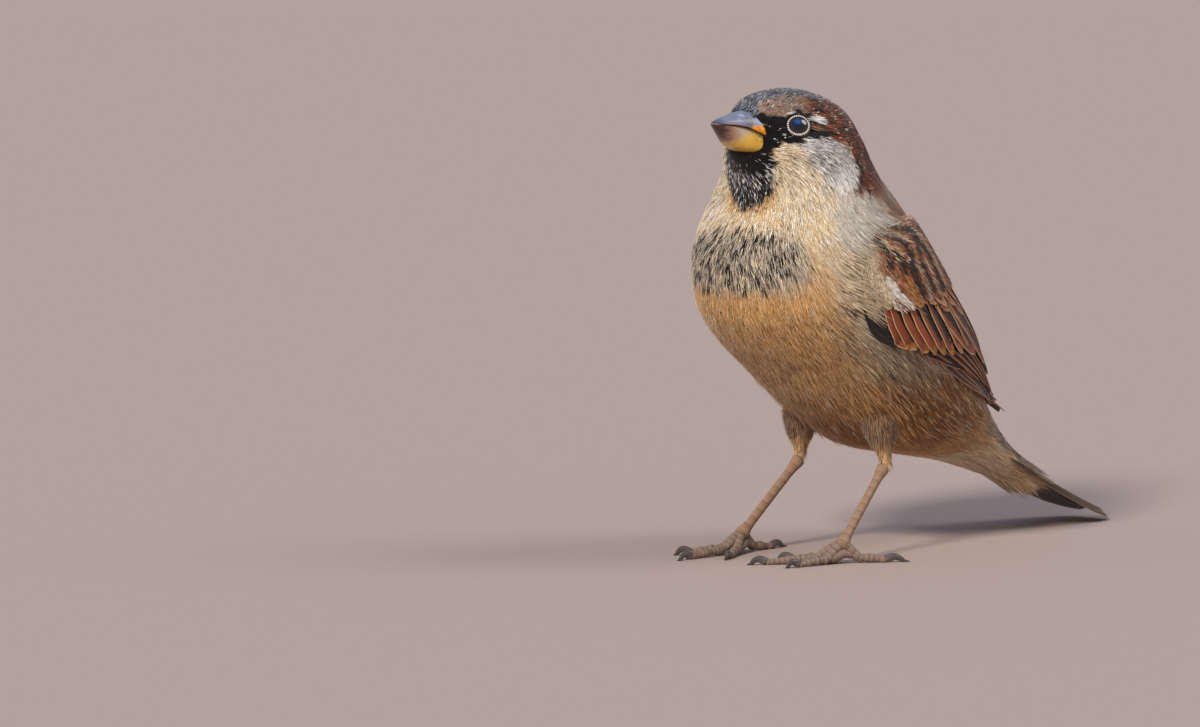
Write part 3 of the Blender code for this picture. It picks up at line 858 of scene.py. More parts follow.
class WingForm:
    """The folded left wing's face: t runs from shoulder (0) to tip (6), q from the lower edge (0) to the upper (1)."""

    LOW_AT = (6.9, 8.0, 8.9, 9.8, 10.8, 11.9)
    LOW_ANGLE = tuple(math.radians(v) for v in (98, 110, 109, 92, 66, 44))
    HIGH_AT = (6.75, 7.3, 8.4, 9.6, 10.8, 12.0)
    HIGH_ANGLE = tuple(math.radians(v) for v in (80, 38, 30, 27, 25, 24))
    TIP = (5.0, 55.9, 24.0)
    EDGE_OUT = 0.3
    RAISED = 1.0

    def __init__(self, body: BodyForm) -> None:
        """Args: body: the body that the wing lies against."""
        self.body = body

    def place(self, t: Array, q: Array) -> tuple[Array, Array]:
        """(at, angle) on the body under a place of the wing."""
        at = through(self.LOW_AT, t) * (1 - q) + through(self.HIGH_AT, t) * q
        angle = through(self.LOW_ANGLE, t) * (1 - q) + through(self.HIGH_ANGLE, t) * q
        return at, angle

    def point(self, t: Array, q: Array, lift: Array = 0.0) -> Array:
        """Points of the wing, from its bed outwards."""
        t, q, lift = np.broadcast_arrays(*(np.asarray(v, float) for v in (t, q, lift)))
        on_body = np.clip(t, 0.0, 5.0)
        at, angle = self.place(on_body, q)
        at = at + np.minimum(t, 0.0)
        crown = np.clip(4 * q * (1 - q), 0.0, 1.0) ** 0.5
        front = ramp(-0.2, 1.2, on_body)
        base = self.EDGE_OUT + (self.RAISED - self.EDGE_OUT) * crown * front - 1.0
        near = self.body.point(at, angle, base + lift)
        share = np.clip(t - 5.0, 0.0, None)[..., None]
        tip = np.array(self.TIP) + (q[..., None] - 0.5) * np.array([-1.0, 0.3, 0.6])
        tip = tip + np.array([0.0, 0.5, 0.85]) * (lift[..., None] - 0.7)
        taper = np.where(share < 1.0, 1.0 - (1.0 - np.minimum(share, 1.0)) ** 1.25, 1.0)
        return near * (1 - taper) + tip * taper

    def frame(self, t: Array, q: Array) -> tuple[Array, Array]:
        """(outward normals, directions towards the upper edge)."""
        t, q = np.broadcast_arrays(np.asarray(t, float), np.asarray(q, float))
        along = self.point(np.minimum(t, 5.97) + 0.02, q) - self.point(np.minimum(t, 5.97) - 0.02, q)
        across = self.point(t, q + 0.02) - self.point(t, q - 0.02)
        normal = unit(np.cross(across, along))
        outside = np.sign(normal @ np.array([1.0, 0.25, 0.6]))
        normal = normal * outside[..., None]
        side = unit(np.cross(unit(along), normal))
        return normal, side * np.sign(np.sum(side * across, -1, keepdims=True))

    def covers(self, at: Array, angle: Array, margin: float) -> Array:
        """Whether a place on the left or right of the body lies under the wing, this far in from its edge."""
        t = np.linspace(0.0, 5.0, 60)
        inset = margin / 30.0
        low_at, low_angle = self.place(t, np.full_like(t, inset))
        high_at, high_angle = self.place(t, np.full_like(t, 1.0 - inset))
        q = np.linspace(inset, 1 - inset, 20)
        front_at, front_angle = self.place(np.full_like(q, margin / 10.0), q)
        rear_at, rear_angle = self.place(np.full_like(q, 5.0), q)
        a = np.concatenate([low_at, rear_at, high_at[::-1], front_at[::-1]])
        g = np.concatenate([low_angle, rear_angle, high_angle[::-1], front_angle[::-1]])
        angle = np.abs(turned(angle))
        inside = np.zeros(at.shape, bool)
        for i in range(len(a)):
            a1, g1, a2, g2 = a[i - 1], g[i - 1], a[i], g[i]
            if a1 == a2:
                continue
            crosses = (a1 > at) != (a2 > at)
            inside ^= crosses & (angle < (g2 - g1) * (at - a1) / (a2 - a1) + g1)
        return inside


# ---- vanes


@dataclass(frozen=True)
class Vane:
    """One kind of flat feather: its width, lie and pattern. Across runs from -1, its lower edge, to 1."""

    half_width: float
    lift: Pair
    web: Hue
    core: Hue
    edge: Hue
    tip: Hue = Hue.WHITE
    tipped: float = 0.0
    fringe: float = 0.14
    core_span: Pair = (-0.3, 0.3)
    core_end: float = 0.85
    tilt: float = 0.22
    pointed: float = 0.0
    ragged: float = 0.04


# half width, lift, web, core, edge, tip, tipped, fringe, core span, core end, tilt, pointed, ragged
MANTLE_EDGED = (Hue.BLACK, Hue.BLACK, Hue.MANTLE)
PRIMARY = Vane(1.5, (0.2, 0.4), *MANTLE_EDGED, Hue.DARK_BROWN, 0.6, 0.22, (-0.7, 2.0), 1.2, 0.2, 0.7, 0.02)
SECONDARY = Vane(1.55, (0.25, 0.6), *MANTLE_EDGED, Hue.MANTLE, 0.0, 0.22, (-0.75, 2.0), 1.2, 0.24, 0.45, 0.02)
RUST_WEBBED = (Hue.RUST, Hue.BLACK, Hue.BUFF)
TERTIAL = Vane(2.6, (0.8, 1.5), *RUST_WEBBED, Hue.MANTLE, 0.3, 0.11, (-0.55, 0.6), 0.88, 0.2, 0.3, 0.02)
THUMB = Vane(0.95, (0.9, 1.3), Hue.BLACK, Hue.BLACK, Hue.SOOT, fringe=0.04, tilt=0.1, pointed=0.5)
GREAT_COVERT = Vane(1.45, (0.7, 1.45), *RUST_WEBBED, Hue.OCHRE, 0.7, 0.12, (0.3, 2.0), 0.86, 0.34, 0.15, 0.02)
BUFF_EDGED = (Hue.MANTLE, Hue.BROWN, Hue.BUFF)
BAR_COVERT = Vane(1.5, (0.7, 1.05), *BUFF_EDGED, Hue.CREAM, 0.5, 0.1, (-0.7, 0.6), 0.84, 0.2, 0.1, 0.09)
SMALL_COVERT = Vane(1.0, (0.8, 1.15), *BUFF_EDGED, Hue.CREAM, 0.5, 0.2, (-0.35, 0.4), 0.75, 0.16, 0.35, 0.1)
SCAPULAR = Vane(1.45, (0.7, 1.1), *BUFF_EDGED, Hue.BUFF, 0.4, 0.17, (-0.42, 0.45), 0.84, 0.2, 0.3, 0.1)
CREAM_EDGED = (Hue.MANTLE, Hue.BLACK, Hue.CREAM)
LONG_SCAPULAR = Vane(1.5, (0.9, 1.3), *CREAM_EDGED, Hue.BUFF, 0.5, 0.16, (-0.5, 0.35), 0.86, 0.2, 0.35, 0.06)
OLIVE_WEBBED = (Hue.OLIVE, Hue.DARK_BROWN, Hue.GREY_BROWN)
TAIL_FEATHER = Vane(
    3.4, (0.0, 0.0), *OLIVE_WEBBED, fringe=0.07, core_span=(-0.55, 0.55), core_end=0.97, tilt=0.0, ragged=0.02
)


class VaneSet:
    """Vanes gathered into one piece."""

    ALONG = 26
    ACROSS = 9
    THICK = 0.1

    def __init__(self, seed: int) -> None:
        """Args: seed: which chances its vanes take."""
        self.chance = np.random.default_rng(seed)
        self.points: list[Array] = []
        self.faces: list[tuple[int, ...]] = []
        self.layers: dict[str, list[Array]] = {}
        self.count = 0

    def outline(self, share: Array, pointed: float) -> Array:
        """The half width along a vane, as a share of its widest."""
        root = 0.45 + 0.55 * ramp(0.0, 0.45, share)
        start = 0.78 - 0.33 * pointed
        end = np.clip((share - start) / (1.0 - start), 0.0, 1.0)
        round_end = np.sqrt(np.maximum(1.0 - end**2, 0.0))
        sharp_end = (1.0 - end) ** 0.8
        return np.maximum(root * (round_end * (1 - pointed) + sharp_end * pointed), 0.03)

    def add(self, centre: Array, normal: Array, side: Array, kind: Vane) -> None:
        """One vane.

        Args:
            centre: Points on its shaft, from root to tip.
            normal: The way out at each.
            side: The way to its upper edge at each.
            kind: What it is.
        """
        n, m = len(centre), self.ACROSS
        source = np.linspace(0.0, 1.0, n)
        share = 1 - (1 - source) ** 1.35
        centre, normal, side = (
            np.stack([np.interp(share, source, column) for column in block.T], -1) for block in (centre, normal, side)
        )
        normal, side = unit(normal), unit(side)
        across = np.linspace(-1.0, 1.0, m)
        wide = kind.half_width * self.outline(share, kind.pointed)
        jitter = 1.0 + kind.ragged * self.chance.standard_normal((n, 2)) * ramp(0.05, 0.3, share)[:, None]
        reach = np.where(across[None] < 0, jitter[:, :1], jitter[:, 1:]) * wide[:, None] * across[None]
        lift = kind.lift[0] + (kind.lift[1] - kind.lift[0]) * share
        high = lift[:, None] - kind.tilt * across[None] * np.minimum(wide / kind.half_width, 1.0)[:, None]
        high = high - reach**2 / 42.0
        shaft = 0.05 * np.exp(-((across / 0.12) ** 2))[None] * (1 - share[:, None])
        top = centre[:, None] + side[:, None] * reach[..., None] + normal[:, None] * (high + shaft)[..., None]
        low = top - normal[:, None] * self.THICK
        for sheet in (top, low):
            sheet[..., 2] = np.maximum(sheet[..., 2], 0.02)
        top[..., 2] = np.maximum(top[..., 2], low[..., 2] + 0.05)
        size = n * m
        self.faces += sheet_faces(n, m, self.count)
        self.points += [top.reshape(-1, 3), low.reshape(-1, 3)]
        self.count += 2 * size
        long = np.linalg.norm(np.diff(centre, axis=0), axis=1).sum()
        along, beside = np.meshgrid(share, across, indexing="ij")
        web = np.stack([beside, along, np.full((n, m), self.chance.random())], -1)
        flat = {
            "web": web.reshape(-1, 3),
            "web_size": np.tile([kind.half_width, long, kind.fringe], (size, 1)),
            "web_core": np.tile([*kind.core_span, kind.core_end], (size, 1)),
            "tipped": np.full(size, kind.tipped),
        }
        for key in ("web", "core", "edge", "tip"):
            flat[key + "_tint"] = np.tile(getattr(kind, key).tint, (size, 1))
        for key, values in flat.items():
            self.layers.setdefault(key, []).extend([values, values])

    def build(self, name: str, finish: Finish, mirror: bool = False) -> Piece:
        """The piece.

        Args:
            name: Its name.
            finish: Its material.
            mirror: Whether it stands on the bird's right.

        Returns:
            The vanes as one mesh.
        """
        points = sided(np.concatenate(self.points), mirror)
        made = new_object(name, points, self.faces, finish)
        for key, values in self.layers.items():
            store(made, key, np.concatenate(values))
        return outwards(made)


@dataclass
class Wing:
    """A folded wing: a dark bed as painted shade, then flight feathers, coverts and scapulars laid over each other."""

    form: WingForm
    mirror: bool
    vanes: VaneSet = field(init=False)

    def __post_init__(self) -> None:
        """Starts the wing's set of vanes."""
        self.vanes = VaneSet(7 if self.mirror else 5)

    def lay(self, start: Pair, end: Pair, kind: Vane, bow: float = 0.0) -> None:
        """One feather from start to end, both as (t, q), bowed upwards by some q."""
        u = np.linspace(0.0, 1.0, VaneSet.ALONG)
        t = start[0] + (end[0] - start[0]) * u
        q = start[1] + (end[1] - start[1]) * u + bow * 4 * u * (1 - u)
        normal, side = self.form.frame(t, q)
        self.vanes.add(self.form.point(t, q), normal, side, kind)

    def flight_feathers(self) -> None:
        """Primaries, secondaries and tertials, the lowest first."""
        for i in range(4):
            low = replace(PRIMARY, lift=(0.45, 1.3), half_width=1.3, tipped=0.0, pointed=0.55)
            self.lay((3.3, -0.07 + 0.05 * i), (5.0 + 0.08 * i, -0.1 + 0.08 * i), low, bow=-0.15 + 0.035 * i)
        for i in range(7):
            self.lay((2.6, 0.1 + 0.035 * i), (6.02 - 0.2 * i, 0.33 + 0.05 * i), PRIMARY)
        for i in range(7):
            raised = replace(SECONDARY, lift=(0.35, 0.75 + 0.12 * i))
            self.lay((2.3, 0.02 + 0.065 * i), (3.8 + 0.22 * i, -0.1 + 0.075 * i), raised, bow=0.03)
        for t, q, end_t, end_q, bow in (
            (1.9, 0.44, 3.6, 0.3, 0.04),
            (2.0, 0.58, 4.05, 0.46, 0.03),
            (2.1, 0.72, 4.4, 0.64, 0.02),
            (2.1, 0.86, 4.1, 0.84, 0.0),
        ):
            self.lay((t, q), (end_t, end_q), TERTIAL, bow)

    def coverts(self) -> None:
        """The dark thumb feathers, the three rows of coverts and the pale bar."""
        for start, end in (((1.3, 0.0), (2.8, -0.1)), ((1.3, 0.04), (2.75, -0.05)), ((1.3, 0.08), (2.5, 0.0))):
            self.lay(start, end, THUMB)
        start_t = (1.3, 1.35, 1.45, 1.55, 1.68, 1.78, 1.85, 2.0)
        start_q = (0.13, 0.17, 0.23, 0.28, 0.33, 0.4, 0.47, 0.55)
        end_t = (2.74, 2.86, 3.02, 3.12, 3.22, 3.32, 3.4, 3.34)
        end_q = (-0.08, -0.06, -0.03, 0.0, 0.03, 0.07, 0.15, 0.3)
        for i in range(8):
            core = Hue.MAROON if i in (0, 2) else Hue.BLACK
            kind = replace(GREAT_COVERT, core=core, core_span=(0.3 if i < 4 else -0.2, 2.0))
            self.lay((start_t[i], start_q[i]), (end_t[i], end_q[i]), kind, bow=0.05)
        tip_t = (1.45, 1.6, 1.78, 1.92, 1.98, 2.02, 2.1, 2.25)
        tip_q = (0.08, 0.15, 0.2, 0.26, 0.33, 0.42, 0.5, 0.57)
        for i in range(8):
            dark = i in (5, 6)
            web = Hue.CREAM if dark else Hue.OCHRE if i in (4, 7) else Hue.WHITE if i in (2, 3) else Hue.BUFF
            core, tipped = Hue.BLACK if dark else web, 0.0 if i in (4, 7) else 0.5
            kind = replace(BAR_COVERT, web=web, core=core, tipped=tipped)
            self.lay((tip_t[i] - 0.8, tip_q[i] + 0.03), (tip_t[i], tip_q[i]), kind)
        for row in range(4):
            for i in range(7):
                core = Hue.DARK_BROWN if self.vanes.chance.random() < 0.45 else Hue.CHESTNUT
                kind = replace(SMALL_COVERT, web=Hue.GREY_BROWN if i < 2 else Hue.MANTLE, core=core)
                t, q = 0.1 + 0.24 * row, 0.04 + 0.06 * i + 0.03 * (row % 2)
                self.lay((t, q + 0.03), (t + 0.6, q), kind)

    def scapulars(self) -> None:
        """Buff-edged, dark-centred feathers over the wing's upper part."""
        for row in range(7):
            for i in range(6):
                q = 0.43 + 0.1 * i + 0.05 * (row % 2)
                t = 0.34 * row
                if q > 1.02 or (row > 5 and i < 1):
                    continue
                chance = self.vanes.chance.random()
                dark = Hue.BLACK if (row + 2 * i) % 3 == 0 else Hue.BROWN if chance < 0.5 else Hue.CHESTNUT
                kind = replace(SCAPULAR, core=dark, edge=Hue.BUFF if chance < 0.55 else Hue.MANTLE)
                self.lay((t, q + 0.01), (t + 0.8, q - 0.015), kind)
        for start, end in (((0.5, 0.9), (1.15, 0.56)), ((0.95, 0.66), (2.1, 0.52)), ((1.2, 0.5), (2.35, 0.47))):
            self.lay(start, end, LONG_SCAPULAR)

    def bed(self, finish: Finish) -> Piece:
        """The closed dark sheet that the feathers are laid on, dark brown all over as painted shade in the gaps between
        them.
        """
        t = np.linspace(0.05, 5.7, 40)[:, None]
        q = np.linspace(0.04, 0.96, 17)[None, :]
        top = self.form.point(t, q, 0.15)
        low = self.form.point(t, q, -0.5)
        points = sided(np.concatenate([top.reshape(-1, 3), low.reshape(-1, 3)]), self.mirror)
        made = new_object("wing_shade_sheet", points, sheet_faces(*top.shape[:2]), finish)
        # painted shade: one dark brown over the whole sheet, where only the shade between the feathers shows
        for key in ("web", "core", "edge", "tip"):
            store(made, key + "_tint", np.tile(Hue.DARK_BROWN.tint, (len(points), 1)))
        return outwards(made)

    def build(self, finish: Finish) -> Piece:
        """The whole wing as one piece."""
        side = "right" if self.mirror else "left"
        self.flight_feathers()
        self.coverts()
        self.scapulars()
        feathers = self.vanes.build(f"wing_feathers_{side}", finish, self.mirror)
        made = joined(f"wing_feathers_{side}", [feathers, self.bed(finish)])
        return settle(made, "wing_chestnut", f"wing_{side}")


@dataclass
class Tail:
    """Twelve folded tail feathers, the middle pair on top, whose tips lie on the floor."""

    root: Pair = (45.3, 22.9)
    length: float = 50.0
    buried: float = 5.0
    slopes: Pair = (math.radians(34), math.radians(19))
    roll: float = math.radians(7)
    half_widths: Pair = (4.4, 7.3)
    arch: float = 1.3

    def line(self, along: Array) -> tuple[Array, Array, Array]:
        """(y, z, slope) on the tail's middle line, so far behind its root."""
        bend = (self.slopes[1] - self.slopes[0]) / self.length
        slope = self.slopes[0] + bend * along
        back = self.root[0] + (np.sin(slope) - math.sin(self.slopes[0])) / bend
        up = self.root[1] + (np.cos(slope) - math.cos(self.slopes[0])) / bend
        return back, up, slope

    def build(self, finish: Finish) -> Piece:
        """The tail as one piece."""
        vanes = VaneSet(3)
        for i in reversed(range(6)):
            for sign in (-1.0, 1.0):
                middle = sign * (0.1 + 0.115 * i)
                u = np.linspace(0.0, 1.0, VaneSet.ALONG)
                long = self.length - 1.6 * (1 - abs(middle) * 1.4) - 0.3 * i + 0.1
                along = -self.buried + (long + self.buried) * u
                back, up, slope = self.line(along)
                share = (along + self.buried) / (self.length + self.buried)
                narrow, broad = self.half_widths
                wide = np.interp(share, [0.0, 0.25, 0.8, 1.0], [narrow, 5.2, broad, broad])
                aside = middle * (wide - 3.2 * share) * 1.2
                thick = 2.6 - 1.5 * share
                layer = (0.9 - 0.3 * i + (0.07 if sign > 0 else 0.0)) / 1.8
                high = layer * thick * 0.55 + self.arch * (0.5 - middle**2)
                roll = self.roll * share
                x = aside * np.cos(roll) + high * np.sin(roll)
                h = -aside * np.sin(roll) + high * np.cos(roll)
                centre = np.stack([x, back + h * np.sin(slope), up + h * np.cos(slope)], -1)
                tilt = roll + 0.28 * middle
                normal = np.stack([np.sin(tilt), np.cos(tilt) * np.sin(slope), np.cos(tilt) * np.cos(slope)], -1)
                side = np.stack([np.cos(tilt), -np.sin(tilt) * np.sin(slope), -np.sin(tilt) * np.cos(slope)], -1)
                vanes.add(centre, normal, side, TAIL_FEATHER)
        return settle(vanes.build("tail_feathers", finish), "tail_brown", "tail")


# ---- soft feathers over the wing


@dataclass
class WingCover(Form):
    """The wing's shoulder as a form that soft feathers grow on: along is t and round is q."""

    wing: WingForm
    side: float
    lift: float = 1.55
    length: float = 15.0

    # where the soft feathers end: each q, then the t there
    LAST = ((0.05, 0.12, 0.22, 0.3, 0.36, 0.45, 0.8, 1.0), (0.6, 1.15, 1.62, 1.72, 1.75, 1.85, 2.2, 2.2))
    # barbs along every streak: (colour, how far above it in q, how many, how widely spread)
    ROWS = ((Hue.BLACK, 0.0, 90, 1.0), (Hue.CREAM, 0.075, 14, 0.5), (Hue.RUST, -0.07, 60, 1.0))
    # barbs round one place: (colour, how many, t, q)
    SPOTS = ((Hue.WHITE, 70, 1.35, 0.225), (Hue.CREAM, 60, 1.0, 0.17), (Hue.OCHRE, 60, 1.5, 0.315))
    STREAKS = (  # (half width, the line's corners in t and q)
        (0.5, ((0.1, 0.46), (0.61, 0.34), (0.78, 0.29))),
        (0.45, ((0.6, 0.42), (1.05, 0.36))),
        (0.8, ((0.95, 0.44), (1.4, 0.4), (1.75, 0.37))),
        (0.55, ((0.3, 0.89), (0.7, 0.78), (1.1, 0.58))),
        (0.6, ((0.74, 0.75), (1.4, 0.66), (2.11, 0.55))),
        (0.45, ((0.1, 0.97), (1.2, 0.86), (2.2, 0.76))),
        (0.35, ((0.05, 0.7), (0.6, 0.6), (1.0, 0.5))),
        (0.4, ((1.3, 0.52), (1.9, 0.47))),
        (0.35, ((1.0, 0.97), (2.1, 0.93))),
    )
    PATCHES = (  # (line, how far it reaches, how soft its edge is, root, tip and middle colours, share of the middle)
        (((0.1, 0.3), (0.9, 0.26)), 2.4, 1.2, (Hue.CHESTNUT, Hue.BUFF, Hue.MAROON), 0.5),
        (((-0.2, 0.1), (0.8, 0.1)), 2.2, 1.5, (Hue.FLANK, Hue.CREAM, Hue.BROWN), 0.4),
        (((0.5, 0.12), (1.0, 0.12), (1.5, 0.14)), 1.5, 1.0, (Hue.FLANK, Hue.CREAM, Hue.BROWN), 0.4),
        (((1.0, 0.21), (1.3, 0.225), (1.7, 0.25)), 0.75, 0.5, (Hue.CREAM, Hue.WHITE, Hue.WHITE), 0.3),
        (((1.25, 0.33), (1.95, 0.32)), 0.8, 0.4, (Hue.OCHRE, Hue.OCHRE, Hue.MANTLE), 0.3),
        (((1.78, 0.42), (1.95, 0.4)), 0.35, 0.3, (Hue.PALE_GREY, Hue.PALE_GREY, Hue.PALE_GREY), 0.0),
    )

    def outline(self, at: Array, angle: Array) -> Array:
        """Points on the soft feathers' outer surface."""
        return self.wing.point(at, angle, self.lift) * (self.side, 1.0, 1.0)

    def slopes(self, at: Array, angle: Array) -> tuple[Array, Array]:
        """As any form's, turned so that outwards stays outwards on both sides."""
        along, around = super().slopes(at, angle)
        return along, around * -self.side

    def line(self, corners: tuple[Pair, ...], shift: float = 0.0) -> list[Place]:
        """Corners on the left wing, in millimetres, moved up by some q."""
        t, q = np.array(corners).T
        return [tuple(p) for p in self.wing.point(t, q + shift, self.lift)]

    def markings(self, at: Array, angle: Array, points: Array) -> Coat:
        """The shoulder's pattern.

        Args:
            at: t of each place.
            angle: q of each place.
            points: The same places in millimetres.

        Returns:
            The colours there.
        """
        ragged = points + 0.4 * np.stack([noise(points, 1.1, k) for k in (74, 76, 77)], -1)
        coat = Coat.plain(points, (Hue.MANTLE, Hue.MANTLE, Hue.BROWN), 0.35)
        coat.paint(ramp(0.0, 0.5, noise(points, 1.3, 78)), Hue.RUST, Hue.MANTLE, Hue.CHESTNUT, 0.5)
        coat.paint(ramp(0.25, 0.5, noise(points, 0.7, 79)), Hue.MANTLE, Hue.BUFF)
        first, last = self.PATCHES[:2], self.PATCHES[2:]
        for corners, radius, soft, hues, share in first:
            coat.paint(stroke(ragged, self.line(corners), radius, soft), *hues, share)
        for radius, corners in self.STREAKS:
            coat.paint(stroke(ragged, self.line(corners, 0.06), radius * 1.2, 0.3), Hue.RUST, Hue.BUFF)
            streak = stroke(ragged, self.line(corners), radius * 1.6, 0.8)
            coat.paint(streak, Hue.BLACK, Hue.BLACK, Hue.DARK_BROWN, 0.3)
        for corners, radius, soft, hues, share in last:
            coat.paint(stroke(ragged, self.line(corners), radius, soft), *hues, share)
        return coat


@dataclass(frozen=True)
class Accent:
    """Barbs of one colour over part of the coat. Its corners are (at, lowest and highest angle from the back)."""

    hue: Hue
    density: float  # on each square millimetre
    long: float
    region: tuple[Place, ...]
    wide: float = 0.07
    lift: float = 0.08
    sink: float = 0.3
    count: int = 1
    ragged: float = 1.0
    clump: float = 0.0
    bare: float = 0.0
    turn: float = 0.0


CROWN = ((0.1, 0.0, 36.0), (0.9, 0.0, 24.0), (1.67, 0.0, 25.0), (2.43, 0.0, 31.0), (3.07, 0.0, 30.0), (4.3, 0.0, 20.0))
BROW_PATCH = ((0.6, 32.0, 56.0), (1.2, 27.0, 52.0), (2.2, 32.0, 50.0))
CHEEK_TOP = ((2.2, 92.0, 100.0), (3.0, 80.0, 104.0), (4.4, 76.0, 104.0), (5.2, 80.0, 96.0))
CHEEK_LOW = ((1.5, 108.0, 122.0), (2.4, 100.0, 132.0), (4.0, 104.0, 142.0), (5.0, 98.0, 150.0))
SIDE_RED = ((2.5, 38.0, 50.0), (3.1, 34.0, 56.0), (3.7, 26.0, 73.0), (4.8, 10.0, 70.0), (5.9, 0.0, 76.0))
BIB_LOW = ((1.5, 128.0, 180.0), (2.4, 142.0, 180.0), (3.3, 160.0, 180.0), (3.5, 176.0, 180.0))
BREAST = ((4.5, 162.0, 180.0), (5.1, 144.0, 180.0), (5.6, 132.0, 180.0), (6.5, 130.0, 180.0), (7.1, 150.0, 180.0))
COLLAR = ((3.6, 150.0, 180.0), (4.2, 130.0, 180.0), (5.2, 96.0, 150.0), (6.2, 84.0, 122.0))
BELLY = ((7.7, 124.0, 180.0), (9.5, 132.0, 180.0), (12.0, 140.0, 180.0))
FLANK_SIDE = ((7.6, 104.0, 124.0), (9.2, 104.0, 134.0), (10.5, 72.0, 134.0), (12.2, 60.0, 120.0))
EAR_PATCH = ((2.9, 44.0, 60.0), (3.5, 36.0, 66.0), (4.2, 32.0, 68.0))
CHIN = ((0.9, 118.0, 180.0), (1.7, 130.0, 180.0), (2.6, 146.0, 180.0))
BIB_EDGE = ((0.7, 96.0, 108.0), (1.4, 108.0, 124.0), (2.2, 130.0, 142.0), (3.0, 146.0, 158.0), (3.7, 164.0, 180.0))
PLUME = ((8.3, 116.0, 119.0), (8.9, 121.0, 124.0), (9.5, 126.0, 129.0), (10.0, 132.0, 136.0))
WING_FRONT = ((6.6, 84.0, 112.0), (7.6, 94.0, 120.0), (8.3, 106.0, 118.0))
TAIL_ROOT = ((12.6, 0.0, 70.0), (15.2, 0.0, 78.0))
ACCENTS = (
    Accent(Hue.SOOT, 2.8, 1.5, CROWN, wide=0.06),
    Accent(Hue.PALE_GREY, 1.2, 1.3, CROWN, wide=0.05),
    Accent(Hue.BROWN, 0.6, 1.4, ((1.4, 0.0, 26.0), (4.2, 0.0, 20.0)), wide=0.06),
    Accent(Hue.DARK_BROWN, 2.4, 1.4, BROW_PATCH, wide=0.055),
    Accent(Hue.CREAM, 0.7, 1.1, BROW_PATCH, wide=0.05),
    Accent(Hue.SLATE, 1.2, 1.4, BROW_PATCH, wide=0.06),
    Accent(Hue.SOOT, 2.4, 2.2, CHEEK_TOP, wide=0.04),
    Accent(Hue.WHITE, 2.2, 2.2, CHEEK_TOP, wide=0.05),
    Accent(Hue.BROWN, 2.2, 2.4, CHEEK_LOW, wide=0.04),
    Accent(Hue.WHITE, 0.9, 2.6, CHEEK_LOW, wide=0.055),
    Accent(Hue.BLACK, 3.4, 1.5, SIDE_RED, wide=0.12, clump=0.9, bare=-0.15),
    Accent(Hue.MAROON, 1.6, 1.4, SIDE_RED, wide=0.1),
    Accent(Hue.RUST, 2.2, 1.3, SIDE_RED, wide=0.09, clump=0.9, bare=-0.1),
    Accent(Hue.CREAM, 1.8, 0.9, SIDE_RED, wide=0.07, clump=0.8, bare=0.3),
    Accent(Hue.CREAM, 1.2, 0.8, EAR_PATCH, wide=0.08, clump=0.7, bare=0.3),
    Accent(Hue.WHITE, 2.0, 1.5, BIB_LOW, wide=0.05, clump=0.7, bare=-0.25),
    Accent(Hue.SLATE, 2.6, 1.4, BIB_LOW, wide=0.05),
    Accent(Hue.BLACK, 2.0, 1.6, BIB_LOW, wide=0.07, lift=0.14, clump=0.7, bare=0.1),
    Accent(Hue.PALE_GREY, 2.4, 1.2, CHIN, wide=0.04, clump=0.6),
    Accent(Hue.BLACK, 2.0, 1.5, BIB_EDGE),
    Accent(Hue.WHITE, 1.3, 0.4, ((0.9, 84.0, 106.0), (1.6, 82.0, 104.0), (2.6, 82.0, 96.0)), clump=0.4, bare=0.2),
    Accent(Hue.WHITE, 0.9, 0.35, ((1.5, 50.0, 62.0), (2.2, 46.0, 54.0), (2.8, 52.0, 66.0)), clump=0.4),
    Accent(Hue.WHITE, 0.9, 3.0, COLLAR, wide=0.06),
    Accent(Hue.OCHRE, 0.35, 2.6, COLLAR, clump=2.5, bare=0.2),
    Accent(Hue.CREAM, 1.2, 2.8, BREAST, wide=0.055),
    Accent(Hue.SOOT, 2.4, 2.4, BREAST, wide=0.045),
    Accent(Hue.BROWN, 1.4, 3.6, BELLY, wide=0.045, clump=0.9, bare=-0.1),
    Accent(Hue.CREAM, 1.4, 3.8, BELLY, wide=0.04, clump=0.9, bare=-0.1),
    Accent(Hue.DARK_BROWN, 1.4, 4.5, FLANK_SIDE, wide=0.05, clump=1.0, bare=-0.1),
    Accent(Hue.CREAM, 1.5, 4.5, FLANK_SIDE, wide=0.045, clump=0.9, bare=-0.1),
    Accent(Hue.CREAM, 1.2, 6.5, PLUME, lift=0.4, ragged=0.2),
    Accent(Hue.WHITE, 2.5, 2.6, ((8.2, 109.0, 112.0), (8.8, 110.5, 113.0)), ragged=0.2, lift=0.4),
    Accent(Hue.FAWN, 0.9, 5.5, ((10.2, 122.0, 156.0), (12.0, 118.0, 156.0)), wide=0.09, lift=0.7, clump=1.5, bare=-0.3),
    Accent(Hue.CREAM, 0.9, 4.0, WING_FRONT),
    Accent(Hue.BROWN, 0.5, 3.6, WING_FRONT, clump=1.2),
    Accent(Hue.BUFF, 1.2, 5.5, ((11.9, 92.0, 104.0), (12.7, 98.0, 112.0), (13.4, 106.0, 122.0)), lift=0.3),
    Accent(Hue.BROWN, 0.9, 5.0, ((11.6, 112.0, 128.0), (12.3, 120.0, 142.0), (12.8, 140.0, 150.0))),
    Accent(Hue.CREAM, 0.9, 7.0, ((13.2, 100.0, 180.0), (15.2, 96.0, 180.0)), wide=0.07),
    Accent(Hue.DARK_BROWN, 1.2, 4.0, TAIL_ROOT, wide=0.1, clump=2.4, bare=0.1),
    Accent(Hue.BUFF, 0.6, 4.5, TAIL_ROOT),
)


# ---- the coat of tufts


